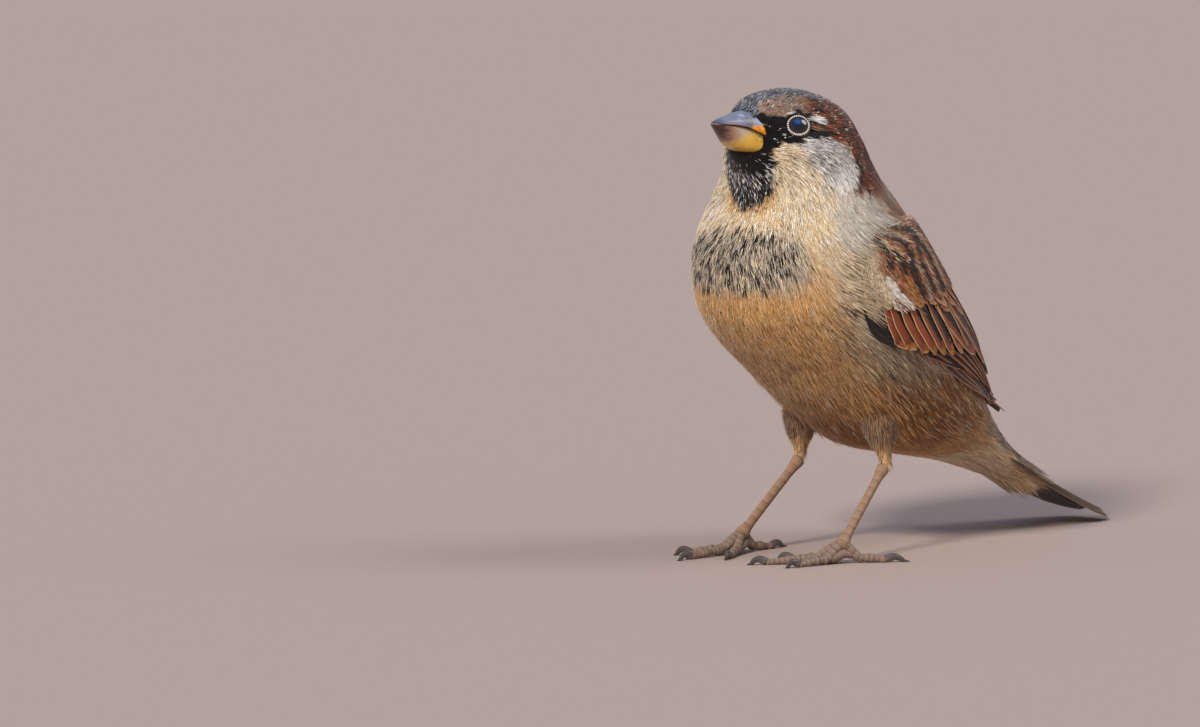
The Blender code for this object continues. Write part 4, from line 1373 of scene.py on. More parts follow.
@dataclass
class TuftCoat:
    """Soft feathers over the skin: each is a fan of thin solid barbs that lies back along the body."""

    body: BodyForm
    wing: WingForm
    eye_point: Array
    eye_way: Array
    seed: int = 20
    sections: tuple[float, ...] = (0.0, 0.5, 1.0)
    most_strands: int = 18000
    eye_clear: float = 2.42
    strands: dict[str, list[Array]] = field(default_factory=dict)

    def __post_init__(self) -> None:
        """Starts the coat's chances."""
        self.chance = np.random.default_rng(self.seed)

    def scatter(
        self, form: Form, rows: int, columns: int, at_span: Pair, crowd: float = 1.0,
        angle_span: Pair = (0.0, 2 * math.pi),
    ) -> tuple[Array, Array]:
        """Roots spread evenly over a form, closest where the feathers are smallest.

        Args:
            form: What they grow on.
            rows: How many rows its surface is read in.
            columns: How many columns.
            at_span: From where to where along it.
            crowd: How much closer together than usual they stand.
            angle_span: From which to which angle.

        Returns:
            The roots' positions along the form and their angles.
        """
        step = ((at_span[1] - at_span[0]) / rows, (angle_span[1] - angle_span[0]) / columns)
        at = at_span[0] + (np.arange(rows)[:, None] + 0.5) * step[0]
        angle = angle_span[0] + (np.arange(columns)[None, :] + 0.5) * step[1]
        at, angle = np.broadcast_arrays(at, angle)
        area = form.cell(at, angle) * step[0] * step[1]
        points = form.outline(at, angle)
        spacing = coat_measure(at, angle, points)[0] / crowd
        chance = self.chance
        wanted = chance.poisson(3.0 * area / spacing**2)
        at = np.repeat(at.ravel(), wanted.ravel())
        angle = np.repeat(angle.ravel(), wanted.ravel())
        at = at + (chance.random(at.size) - 0.5) * step[0]
        angle = angle + (chance.random(at.size) - 0.5) * step[1]
        mix = chance.permutation(at.size)
        at, angle = at[mix], angle[mix]
        points = form.outline(at, angle)
        spacing = coat_measure(at, angle, points)[0] / crowd
        tree = tree_of(points)
        kept, gone = np.zeros((2, len(points)), bool)
        for i, p in enumerate(points):
            if gone[i]:
                continue
            kept[i] = True
            for _, j, _ in tree.find_range(p, 0.8 * spacing[i]):
                gone[j] = True
        return at[kept], angle[kept]

    def clear_of_eyes(self, points: Array, clear: float) -> Array:
        """Points pushed aside so that none lies over an eye."""
        flip = np.where(points[..., :1] < 0, (-1.0, 1.0, 1.0), 1.0)
        places = points * flip
        away = places - self.eye_point
        along = away @ self.eye_way
        flat = away - along[..., None] * self.eye_way
        far = np.linalg.norm(flat, axis=-1)
        near = (far < clear) & (np.abs(along) < 4.0)
        push = np.where(near, clear / np.maximum(far, 1e-6), 1.0)[..., None]
        moved = self.eye_point + along[..., None] * self.eye_way + flat * push
        return np.where(near[..., None], moved, places) * flip

    def grow(self, form: Form, at: Array, angle: Array, hue: Hue | None = None, **style: float) -> None:
        """Fans of barbs at some roots.

        Args:
            form: What they grow on.
            at: The roots' positions along it.
            angle: Their angles.
            hue: Their colour, if not the coat's own there.
            **style: count, wide, spread, long, stretch, lift, sink and turn, each of which has a usual value.
        """
        chance, count = self.chance, int(style.get("count", 7))
        roots = form.outline(at, angle)
        spacing, length, depth = coat_measure(at, angle, roots)
        length = (style["long"] + 0 * length if "long" in style else length) * style.get("stretch", 1.0)
        depth = depth * style.get("sink", 1.0)
        along, around = form.slopes(at, angle)
        pa, pg = np.linalg.norm(along, axis=-1), np.linalg.norm(around, axis=-1)
        n = len(at)
        place = np.linspace(-1.0, 1.0, count)[None, :] + chance.normal(0, 0.12, (n, count))
        turn = style.get("turn", 0.0) + 0.13 * noise(roots, 7.0, 51) + chance.normal(0, 0.05, n)
        turn = turn + self.drift(form, at, angle)
        heading = turn[:, None] + place * style.get("spread", 0.13) + chance.normal(0, 0.035, (n, count))
        long = length[:, None] * (1.0 - 0.22 * place**2) * chance.uniform(0.7, 1.1, (n, count))
        u = np.array(self.sections)[None, None, :]
        sway = 0.03 * long[..., None] * np.sin(3.0 * u + 6.0 * chance.random((n, count, 1)))
        ahead = np.cos(heading)[..., None] * long[..., None] * u
        sideways = (place * 0.42 * spacing[:, None])[..., None] * (0.5 + 0.5 * u)
        sideways = sideways + np.sin(heading)[..., None] * long[..., None] * u + sway
        a = at[:, None, None] + ahead / pa[:, None, None]
        g = angle[:, None, None] + sideways / pg[:, None, None]
        high = -depth[:, None, None] * (1.0 - u) ** 1.4 + style.get("lift", 0.0) * u**1.5
        high = high + (0.07 * depth[:, None] * chance.normal(0, 1, (n, count)))[..., None] * u
        on_body = isinstance(form, BodyForm)
        if on_body:
            front = self.before_wing(at, angle)[:, None, None]
            under = self.wing.covers(a, g, 0.0)
            high = high + np.where(under & (front > 0), 1.35, 0.0) * u
        points = form.point(a, g, high)
        normal = form.normal(a, g)
        if on_body:
            points = self.clear_of_eyes(points, self.eye_clear)
        points[..., 2] = np.maximum(points[..., 2], 0.3)
        ahead_way = unit(np.gradient(points, axis=2))
        side = unit(np.cross(ahead_way, normal))
        wide = style.get("wide", 0.125) * (np.clip(spacing / 0.9, 0.55, 1.1) if hue is None else np.ones(n))
        profile = np.array([0.8, 1.0, 0.0])[None, None, :]
        half = wide[:, None, None] * profile * chance.uniform(0.8, 1.25, (n, count, 1))
        aside, above = side * half[..., None], normal * (0.7 * half)[..., None]
        rings = np.stack([points - aside, points + aside, points + above], 3)
        solid = np.concatenate([rings[:, :, :2].reshape(n, count, 6, 3), points[:, :, 2:3]], 2)
        soft = np.stack([normal - 0.4 * side, normal + 0.4 * side, normal], 3)
        soft = np.concatenate([soft[:, :, :2].reshape(n, count, 6, 3), normal[:, :, 2:3]], 2)
        sample_a, sample_g = a[..., 1] * 0.5 + a[..., 2] * 0.5, g[..., 1] * 0.5 + g[..., 2] * 0.5
        coat = self.colours(form, sample_a, sample_g, form.outline(sample_a, sample_g))
        share = np.array([0.0, 0.0, 0.0, 0.5, 0.5, 0.5, 1.0])[None, None, :]
        tint = blend(coat.root[:, :, None], coat.tip[:, :, None], ramp(0.2, 0.9, share) * np.ones((n, count, 1)))
        core = chance.random((n, count)) < coat.core_share
        core = (core * np.clip(1.5 - np.abs(place), 0.0, 1.0))[..., None] * np.where(share > 0.9, 0.6, 1.0)
        tint = blend(tint, coat.core[:, :, None], core)
        if hue is not None:
            tint = np.broadcast_to(hue.tint, tint.shape)
        # painted shade: each barb is darker at its root, under the tufts that lie over it; each barb and each tuft also
        # takes a random tone
        shade = (0.72 + 0.28 * ramp(0.0, 0.5, share)) * chance.uniform(0.66, 1.26, (n, count, 1))
        shade = shade * chance.uniform(0.9, 1.08, (n, 1, 1))
        tint = tint * shade[..., None]
        home = self.map_place(form, at, angle)
        local = np.stack(np.broadcast_arrays(place[..., None] * 0.45, share - 0.5), -1) * PATCH
        uv = home[:, None, None] + local
        for key, block in (("points", solid), ("tints", tint), ("normals", unit(soft)), ("places", uv)):
            self.strands.setdefault(key, []).append(block.reshape(-1, 7, block.shape[-1]))
        order = np.repeat(home[:, 1] + (0.0 if on_body else 2.0), count)
        self.strands.setdefault("order", []).append(order)

    def drift(self, form: Form, at: Array, angle: Array) -> Array:
        """How the feathers' lie turns away from straight back: over the folded wing's edge and down the flanks."""
        if not isinstance(form, BodyForm):
            return np.zeros(at.shape)
        g = from_back(angle)
        lift = ramp(5.6, 7.0, at) * (1 - ramp(8.4, 9.6, at)) * ramp(70, 100, g) * (1 - ramp(118, 140, g))
        return -0.42 * lift * np.sign(turned(angle))

    def accent(self, mark: Accent) -> None:
        """Barbs of one colour over a part of the coat."""
        chance = self.chance
        ends = np.array(mark.region)
        low, high = ends[:, 1].min(), ends[:, 2].max()
        rows = np.linspace(ends[0, 0], ends[-1, 0], 40)[:, None]
        columns = np.radians(np.linspace(low, high, 40))[None, :]
        cells = self.body.cell(*np.broadcast_arrays(rows, columns))
        area = cells.mean() * (ends[-1, 0] - ends[0, 0]) * math.radians(high - low)
        tries = int(2 * area * mark.density * cells.max() / cells.mean())
        at = chance.uniform(ends[0, 0], ends[-1, 0], tries)
        g = chance.uniform(low, high, tries)
        side = chance.choice([-1.0, 1.0], tries)
        fair = self.body.cell(at, np.radians(g)) > chance.random(tries) * cells.max()
        soft = 3.0 * chance.standard_normal(tries) * mark.ragged
        from_low, from_high = (g + soft - np.interp(at, ends[:, 0], ends[:, k]) for k in (1, 2))
        inside = (from_low > 0) & (from_high < 0)
        angle = np.radians(g) * side
        roots = self.body.outline(at, angle)
        clump = noise(roots, mark.clump, 97 + int(10 * mark.long)) > mark.bare if mark.clump else np.ones(tries, bool)
        flip = np.stack([side, np.ones(tries), np.ones(tries)], -1)
        clear = np.linalg.norm(roots * flip - self.eye_point, axis=-1) > self.eye_clear + 0.1
        keep = fair & inside & clump & clear & ~self.wing.covers(at, angle, 0.4)
        if keep.any():
            style = {key: getattr(mark, key) for key in ("count", "long", "wide", "lift", "sink", "turn")}
            self.grow(self.body, at[keep], angle[keep], mark.hue, spread=0.08, **style)

    def breast_marks(self) -> None:
        """The short dark middles of the breast's feathers, in staggered rows."""
        chance, at, g = self.chance, [], []
        for row in range(10):
            here = 4.5 + 0.29 * row
            low = np.interp(here, [4.5, 5.0, 5.5, 6.5, 6.9, 7.3], [168.0, 150.0, 136.0, 129.0, 138.0, 156.0])
            for degrees in np.arange(180.0 - 2.9 * (row % 2), low, -5.8):
                for side in (-1.0, 1.0):
                    if chance.random() < 0.85:
                        at.append(here + 0.06 * chance.standard_normal())
                        g.append(side * (degrees + 0.9 * chance.standard_normal()))
        at, angle = np.array(at), np.radians(g)
        strong = chance.random(len(at)) < np.interp(at, [4.8, 7.4], [0.25, 0.6])
        for hue, chosen, count, long, wide in ((Hue.SOOT, ~strong, 1, 2.8, 0.1), (Hue.BLACK, strong, 2, 3.3, 0.11)):
            for shift in (0.0, 0.35) if hue is Hue.BLACK else (0.0,):
                here = at[chosen] + shift * 0.1
                style = {"count": count, "long": long - shift, "wide": wide}
                self.grow(self.body, here, angle[chosen], hue, **style, lift=0.12, sink=0.2, spread=0.02)

    def before_wing(self, at: Array, angle: Array) -> Array:
        """1 for roots whose tips lie over the wing's front, 0 elsewhere."""
        return ((at < 8.1) & (from_back(angle) > 60)).astype(float)

    def colours(self, form: Form, at: Array, angle: Array, points: Array) -> Coat:
        """The markings on the body or the wing, and on a thigh plain brown, painted darker as shade, with a pale end.
        """
        if isinstance(form, BodyForm):
            return markings(at, angle, points)
        if isinstance(form, WingCover):
            return form.markings(at, angle, points)
        # painted shade: the thigh's brown is darker to match the shaded belly edge above it
        coat = Coat.plain(points, (Hue.UMBER, Hue.GREY_BROWN, Hue.BROWN), 0.4)
        coat.paint(ramp(5.4, 6.5, at), Hue.TAN, Hue.BUFF)
        return coat

    def map_place(self, form: Form, at: Array, angle: Array) -> Array:
        """A root's place on the unwrap of the skin."""
        turn = (angle / (2 * math.pi)) % 1.0
        if isinstance(form, BodyForm):
            return np.stack([0.01 + 0.78 * turn, 0.02 + 0.96 * at / form.length], -1)
        column = 0.82 if form.side > 0 else 0.91
        if isinstance(form, WingCover):
            return np.stack([column + 0.07 * angle, 0.4 + 0.15 * at], -1)
        return np.stack([column + 0.07 * turn, 0.02 + 0.3 * at / form.length], -1)

    def pieces(self, finish: Finish) -> list[Piece]:
        """The barbs as pieces, in order from bill to tail."""
        points, tints, normals, places, order = map(np.concatenate, self.strands.values())
        order = np.argsort(order, kind="stable")
        count = math.ceil(len(order) / self.most_strands)
        made = []
        triangles = [(0, 2, 1), (3, 4, 6), (4, 5, 6), (5, 3, 6)]
        for a, b in ((0, 1), (1, 2), (2, 0)):
            triangles += [(a, b, b + 3), (a, b + 3, a + 3)]
        triangles = np.array(triangles)[:, ::-1]
        for k, part in enumerate(np.array_split(order, count)):
            corners = (points[part].reshape(-1, 3) - (0.0, BIRD_BACK, 0.0)) * MM
            faces = (triangles[None] + 7 * np.arange(len(part))[:, None, None]).reshape(-1, 3)
            mesh = bpy.data.meshes.new(f"coat_{k + 1:02d}")
            mesh.vertices.add(len(corners))
            mesh.vertices.foreach_set("co", corners.astype(np.float32).ravel())
            mesh.loops.add(faces.size)
            mesh.loops.foreach_set("vertex_index", faces.astype(np.int32).ravel())
            mesh.polygons.add(len(faces))
            mesh.polygons.foreach_set("loop_start", (3 * np.arange(len(faces))).astype(np.int32))
            mesh.update(calc_edges=True)
            mesh.shade_smooth()
            mesh.materials.append(finish)
            layer = mesh.uv_layers.new(name="OFBake")
            layer.uv.foreach_set("vector", places[part].reshape(-1, 2)[faces.ravel()].astype(np.float32).ravel())
            piece = show(bpy.data.objects.new(mesh.name, mesh))
            store(piece, "tint", tints[part].reshape(-1, 3))
            mesh.normals_split_custom_set_from_vertices(normals[part].reshape(-1, 3).tolist())
            made.append(settle(piece, "belly_fawn"))
        return made

    def build(self, thighs: list[ThighForm], finish: Finish) -> list[Piece]:
        """The whole coat."""
        chance = self.chance
        at, angle = self.scatter(self.body, 300, 360, (0.03, 15.4))
        roots = self.body.outline(at, angle)
        bare = self.wing.covers(at, angle, 0.4)
        away = roots * np.where(roots[:, :1] < 0, [[-1.0, 1, 1]], [[1.0, 1, 1]]) - self.eye_point
        bare |= np.linalg.norm(away, axis=-1) < self.eye_clear
        at, angle = at[~bare], angle[~bare]
        LOG.info("%d body tufts", len(at))
        self.grow(self.body, at, angle, count=9)
        for thigh in thighs:
            at, angle = self.scatter(thigh, 60, 90, (2.0, 6.7))
            self.grow(thigh, at, angle, stretch=0.5, lift=0.1)
        for side in (1.0, -1.0):
            cover = WingCover(self.wing, side)
            at, angle = self.scatter(cover, 60, 60, (-0.1, 2.15), 1.25, (0.06, 1.0))
            keep = at < np.interp(angle, *cover.LAST)
            self.grow(cover, at[keep], angle[keep], count=8, long=3.0, wide=0.13, spread=0.09, sink=0.55)
            for hue, shift, number, spread in cover.ROWS:
                for wide, corners in cover.STREAKS:
                    t, q = np.array(corners).T
                    u = chance.uniform(0.0, len(t) - 1.0, number)
                    here = np.interp(u, np.arange(len(t)), t) - 0.12 + 0.03 * chance.standard_normal(number)
                    there = np.interp(u, np.arange(len(t)), q) + shift
                    there = there + 0.05 * wide * spread * chance.standard_normal(number)
                    self.grow(cover, here, there, hue, count=1, long=2.8, wide=0.075, lift=0.12, sink=0.3, spread=0.05)
            for hue, number, t, q in cover.SPOTS:
                here = t + 0.22 * chance.standard_normal(number)
                there = q + 0.022 * chance.standard_normal(number)
                self.grow(cover, here, there, hue, count=1, long=2.4, wide=0.1, lift=0.1, sink=0.3, spread=0.05)
        for mark in ACCENTS:
            self.accent(mark)
        self.breast_marks()
        for hue, count in ((Hue.SOOT, 70), (Hue.SLATE, 110)):
            at, angle = chance.uniform(0.2, 0.6, count), np.radians(chance.uniform(-50.0, 50.0, count))
            style = {"long": 1.3, "wide": 0.06, "lift": 0.15, "sink": 0.6, "turn": math.pi, "spread": 0.25}
            self.grow(self.body, at, angle, hue, count=3, **style)
        LOG.info("%d strands in all", sum(len(v) for v in self.strands["points"]))
        return self.pieces(finish)


# ---- the skin


@dataclass
class Skin:
    """One closed skin under the coat, in the coat's own colours darkened as painted shade between the tufts."""

    body: BodyForm
    thighs: list[ThighForm]
    voxel: float = 0.55
    # the share of the coat's colours left on the skin: painted shade between the tufts
    darker: float = 0.5

    def shell(self, form: Form, rows: int, columns: int, span: Pair) -> tuple[Piece, Array, Array, Array]:
        """A closed loft inside a form's outline, with the place of each of its points."""
        at = np.linspace(*span, rows)[:, None]
        angle = np.linspace(0.0, 2 * math.pi, columns, endpoint=False)[None, :]
        at, angle = np.broadcast_arrays(at, angle)
        outline = form.outline(at, angle)
        depth = coat_measure(at, angle, outline)[2]
        points = form.point(at, angle, -depth)
        made = new_object("shell", points.reshape(-1, 3), ring_faces(rows, columns), bpy.data.materials["down"])
        return outwards(made), at.ravel(), angle.ravel(), points.reshape(-1, 3)

    def build(self, coat: TuftCoat) -> Piece:
        """The skin as one piece."""
        shells, places, tints = [], [], []
        lofts = [(self.body, 160, 110, (0.0, 15.0)), *((t, 24, 36, (0.0, 6.9)) for t in self.thighs)]
        for form, rows, columns, span in lofts:
            made, at, angle, points = self.shell(form, rows, columns, span)
            colours = coat.colours(form, at, angle, points)
            shells.append(made)
            places.append(points)
            # painted shade: the skin takes the coat's colours, darkened by self.darker
            tints.append(blend(colours.root, colours.core, 0.5 * colours.core_share) * self.darker)
        made = joined("skin", shells)
        made.data.remesh_voxel_size = self.voxel * MM
        with bpy.context.temp_override(active_object=made, object=made, selected_objects=[made]):
            bpy.ops.object.voxel_remesh()
        made.data.shade_smooth()
        all_places, all_tints = np.concatenate(places), np.concatenate(tints)
        tree = tree_of(all_places)
        corners = np.empty(3 * len(made.data.vertices), np.float32)
        made.data.vertices.foreach_get("co", corners)
        corners = corners.reshape(-1, 3) / MM + (0.0, BIRD_BACK, 0.0)
        nearest = [tree.find(p)[1] for p in corners]
        store(made, "tint", all_tints[nearest])
        return settle(made, "belly_fawn", "head", "neck", "trunk", "thigh_left", "thigh_right")


# ---- eyes, bill and legs


@dataclass(frozen=True)
class EyeSocket:
    """Where the left eye sits on the body's outline, how deep its middle lies and how far it looks ahead."""

    at: float = 2.15
    angle: float = math.radians(73.5)
    depth: float = 2.58
    ahead: float = 0.28

    def place(self, body: BodyForm) -> tuple[Array, Array]:
        """The eyeball's centre and the way it looks."""
        at, angle = np.array([self.at]), np.array([self.angle])
        out = body.normal(at, angle)[0]
        return body.outline(at, angle)[0] - out * self.depth, unit(out - (0.0, self.ahead, 0.0))


@dataclass
class Eye:
    """A wet dark eyeball in a ring of pale beaded lids."""

    centre: Array
    way: Array
    side: str
    radius: float = EYE_RADIUS
    opening: float = 1.72
    rim: float = 2.12
    beads: int = 30

    def basis(self) -> tuple[Array, Array]:
        """Two directions across the eye: forwards and upwards."""
        up = unit(np.array([0.0, 0.0, 1.0]) - self.way[2] * self.way)
        return np.cross(up, self.way), up

    def ball(self, finish: Finish) -> Piece:
        """The eyeball, brown round its edge and black in the middle, with a painted reflection of blue sky on its upper
        front.
        """
        ahead, up = self.basis()
        turn = np.linspace(0.0, math.pi, 40)[1:-1]
        angle = np.linspace(0.0, 2 * math.pi, 48, endpoint=False)[None, :, None]
        flat = np.cos(angle) * ahead + np.sin(angle) * up
        ring = np.cos(turn)[:, None, None] * self.way + np.sin(turn)[:, None, None] * flat
        made = tube(f"eyeball_{self.side}", self.centre + self.radius * ring, finish)
        dark = ramp(0.34, 0.42, np.sin(turn))[:, None] * np.ones((1, 48))
        tint = blend(linear(3, 4, 9), linear(34, 17, 10), dark.ravel())
        far = np.sin(turn)[:, None]
        # painted reflection: a patch of blue sky painted into the eyeball's colour, which stays put whatever the view
        # or the lights
        sky = ((far * np.sin(angle[..., 0]) - 0.2) / 0.17) ** 2 + ((far * np.cos(angle[..., 0]) + 0.03) / 0.24) ** 2
        sky = ramp(1.6, 0.2, sky) * (np.cos(turn)[:, None] > 0)
        store(made, "tint", blend(tint, linear(30, 62, 138), 0.85 * sky.ravel()))
        return settle(made, "eye_dark", f"eye_{self.side}")

    def bead_row(self, shape: "Repeated", finish: Finish) -> Piece:
        """The pale beads along the lids' edge."""
        ahead, up = self.basis()
        turn = np.linspace(0.0, 2 * math.pi, self.beads, endpoint=False)
        reach = ((self.opening + self.rim) / 2 + 0.04) * (1.0 + 0.04 * np.cos(2 * turn))
        flat = np.cos(turn)[:, None] * ahead + np.sin(turn)[:, None] * up
        high = np.sqrt(self.radius**2 - reach**2) + 0.13
        points = self.centre + reach[:, None] * flat + high[:, None] * self.way
        chance = np.random.default_rng(12)
        tints = linear(216, 208, 198) * chance.uniform(0.65, 1.05, (self.beads, 1))
        sizes = chance.uniform(0.26, 0.38, self.beads)
        made = shape.build(f"lid_beads_{self.side}", points, flat, sizes, tints, finish)
        return settle(made, "eye_dark")

    def lids(self, finish: Finish) -> Piece:
        """The ring of skin round the opening, with its row of small beads."""
        ahead, up = self.basis()
        around = 136
        angle = np.linspace(0.0, 2 * math.pi, around, endpoint=False)
        across = np.linspace(0.0, 2 * math.pi, 14, endpoint=False)
        middle, half = (self.opening + self.rim) / 2, (self.rim - self.opening) / 2
        bead = 0.5 + 0.5 * np.cos(self.beads * angle)[:, None] * np.ones((1, 14))
        pinch = 1.0 + 0.04 * np.cos(2 * angle)[:, None]
        reach = (middle + half * np.cos(across) * (0.86 + 0.2 * bead)) * pinch
        high = np.sqrt(np.maximum(self.radius**2 - reach**2, 0.0)) + 0.02 + (0.13 + 0.1 * bead) * np.sin(across)
        flat = np.cos(angle)[:, None] * ahead + np.sin(angle)[:, None] * up
        rings = self.centre + reach[..., None] * flat[:, None] + high[..., None] * self.way
        faces = ring_faces(around, 14, loop=True)
        made = outwards(new_object(f"lids_{self.side}", rings.reshape(-1, 3), faces, finish))
        outer = 0.5 + 0.5 * np.cos(across)[None] * np.ones((around, 1))
        tint = blend(linear(88, 82, 78), linear(214, 206, 196), (bead**0.6).ravel())
        store(made, "tint", blend(tint, linear(26, 22, 22), (outer < 0.16).ravel().astype(float)))
        return settle(made, "eye_dark")


class Repeated:
    """One small shape set down at many points by a node tree, each with its own way and size."""

    def __init__(self, name: str, slim: bool) -> None:
        """Args: name: the tree's name; slim: whether the shape is a fine cone, or else a ball."""
        self.tree = bpy.data.node_groups.new(name, "GeometryNodeTree")
        nodes = self.tree.nodes
        sockets = (("Points", "INPUT", "Geometry"), ("Finish", "INPUT", "Material"), ("Shape", "OUTPUT", "Geometry"))
        for label, way, kind in sockets:
            self.tree.interface.new_socket(label, in_out=way, socket_type=f"NodeSocket{kind}")
        start, end = nodes.new("NodeGroupInput"), nodes.new("NodeGroupOutput")
        self.finish_key = next(i.identifier for i in self.tree.interface.items_tree if i.name == "Finish")
        shape = nodes.new("GeometryNodeMeshCone" if slim else "GeometryNodeMeshUVSphere")
        cone = {"Vertices": 5, "Side Segments": 4, "Radius Bottom": 0.035, "Depth": 1.0}
        for key, value in (cone if slim else {"Segments": 8, "Rings": 6, "Radius": 0.5}).items():
            shape.inputs[key].default_value = value
        way, size = nodes.new("GeometryNodeInputNamedAttribute"), nodes.new("GeometryNodeInputNamedAttribute")
        way.data_type, size.data_type = "FLOAT_VECTOR", "FLOAT"
        way.inputs["Name"].default_value, size.inputs["Name"].default_value = "way", "size"
        turn = nodes.new("FunctionNodeAlignRotationToVector")
        copies = nodes.new("GeometryNodeInstanceOnPoints")
        real, coloured = nodes.new("GeometryNodeRealizeInstances"), nodes.new("GeometryNodeSetMaterial")
        for one, out, other, into in (
            (start, "Points", copies, "Points"),
            (shape, "Mesh", copies, "Instance"),
            (way, "Attribute", turn, "Vector"),
            (turn, "Rotation", copies, "Rotation"),
            (size, "Attribute", copies, "Scale"),
            (copies, "Instances", real, "Geometry"),
            (real, "Geometry", coloured, "Geometry"),
            (start, "Finish", coloured, "Material"),
            (coloured, "Geometry", end, "Shape"),
        ):
            self.tree.links.new(one.outputs[out], other.inputs[into])

    def build(self, name: str, points: Array, ways: Array, sizes: Array, tints: Array, finish: Finish) -> Piece:
        """The copies as one piece.

        Args:
            name: Its name.
            points: Where each copy stands, in millimetres.
            ways: Which way each points.
            sizes: How large each is, in millimetres.
            tints: The colour of each.
            finish: Their material.

        Returns:
            The piece, with no modifier left.
        """
        made = new_object(name + "_points", points, [], finish, smooth=False)
        store(made, "way", ways)
        store(made, "size", np.asarray(sizes, float) * MM)
        store(made, "tint", tints)
        modifier = made.modifiers.new("copies", "NODES")
        modifier.node_group = self.tree
        modifier[self.finish_key] = finish
        result = plain_mesh(made, name)
        result.data.shade_smooth()
        return result


@dataclass
class Bill:
    """A stout seed-eater's bill: blue-grey above, yellow at the gape, pale and yellow below."""

    length: float = 12.6
    tip: Pair = (15.5, -3.85)
    half_width: float = 4.7
    around: int = 48
    rings: int = 60

    def profile(self, back: Array) -> tuple[Array, Array, Array, Array]:
        """(ridge, cutting edge, keel, half width) so far back from the tip."""
        tip_up = self.tip[1]
        ridge = tip_up + 4.7 * np.clip(back / 9.4, 0.0, 1.4) ** 0.85
        edge = through([tip_up, -3.5, -3.2, -3.2, -3.6, -4.1, -4.3], back / 2.4)
        keel = tip_up - 0.1 - np.interp(back, [0.0, 5.2, 6.6, 9.0, 13.0], [0.0, 2.75, 3.15, 3.35, 3.2])
        half_width = self.half_width * np.clip(back / 10.5, 0.0, 1.1) ** 0.72
        return ridge, edge, keel, half_width

    def half(self, upper: bool, finish: Finish) -> Piece:
        """The upper or the lower half."""
        start = 0.03 if upper else 0.7
        back = start + (self.length - start) * np.linspace(0.0, 1.0, self.rings) ** 1.3
        ridge, edge, keel, half_width = self.profile(back)
        far = ridge if upper else keel
        seam = edge + (0.02 if upper else -0.1)
        height = np.maximum(np.abs(far - seam), 0.08)[:, None]
        wide = np.maximum(half_width * (1.0 if upper else 0.93), 0.08)[:, None]
        sign = 1.0 if upper else -1.0
        angles = np.linspace(0.0, math.pi, self.around - 12)[None, :]
        full = 1.0 if upper else 1.0 - 0.42 * np.minimum(back / 8.0, 1.0)[:, None]  # the lower half is squarer behind
        aside = wide * np.sign(np.cos(angles)) * np.abs(np.cos(angles)) ** full
        up = seam[:, None] + sign * height * np.sin(angles) ** (0.9 * full)
        if upper:
            nostril = np.exp(-(((back[:, None] - 9.6) / 0.55) ** 2) - ((np.abs(np.cos(angles)) - 0.62) / 0.1) ** 2)
            aside = aside * (1 - 0.07 * nostril)
            up = up - 0.22 * nostril
        flat = np.linspace(-1.0, 1.0, 14)[None, 1:-1] * wide
        hollow = seam[:, None] + sign * 0.25 * height * (1 - (flat / wide) ** 2)
        aside = np.concatenate([aside, flat], 1)
        up = np.concatenate([up, hollow], 1)
        forward = np.broadcast_to((self.tip[0] - back)[:, None], aside.shape)
        name = "bill_upper_horn" if upper else "bill_lower_horn"
        made = tube(name, head_point(forward, aside, up), finish)
        tint = self.colours(upper, np.broadcast_to(back[:, None], aside.shape), aside / wide, up - seam[:, None])
        store(made, "tint", tint.reshape(-1, 3))
        return settle(made, "horn_grey", "bill_upper") if upper else settle(made, "horn_yellow", "bill_lower")

    def colours(self, upper: bool, back: Array, aside: Array, rise: Array) -> Array:
        """The horn's colours.

        Args:
            upper: Which half.
            back: How far each point is behind the tip.
            aside: How far out it is, as a share of the half width.
            rise: Its height over the cutting edge.

        Returns:
            A tint for each point.
        """
        grain = noise(np.stack([back * 1.3, aside * 2.0, rise * 3.0], -1), 0.7, 61)
        if upper:
            mottle = noise(np.stack([back, aside * 3.0, rise], -1), 1.1, 63)
            gape = ramp(6.9, 8.2, back + 0.6 * grain) * (1 - ramp(1.3, 2.1, rise + 0.42 * (10.2 - back)))
            tint, layers = linear(70, 68, 78), (
                ((112, 118, 138), ramp(0.3, 3.5, back)),
                ((150, 160, 182), 0.7 * ramp(0.1, 0.6, mottle) * ramp(1.5, 3.5, back)),
                ((92, 90, 100), 0.8 * ramp(0.1, 0.6, -mottle) * ramp(3.5, 6.5, back)),
                ((176, 122, 112), 0.7 * (1 - ramp(0.1, 0.5, rise)) * ramp(2.0, 4.0, back)),
                ((46, 26, 26), 1 - ramp(0.0, 0.09, rise)),
                ((236, 152, 36), gape),
            )
        else:
            tint, layers = linear(58, 38, 34), (
                ((158, 122, 100), ramp(1.8, 4.4, back + 0.4 * grain + 0.4 * rise)),
                ((184, 168, 146), ramp(3.6, 5.6, back + 0.6 * rise) * (1 - ramp(7.5, 10.0, back)) * 0.8),
                ((214, 170, 64), ramp(5.0, 8.4, back - 0.9 * rise + 0.4 * grain - 1.4)),
                ((54, 30, 28), 0.8 * ramp(-0.12, 0.0, rise)),
            )
        for colour, share in layers:
            tint = blend(tint, linear(*colour), share)
        return tint * (1.0 + 0.08 * grain[..., None])


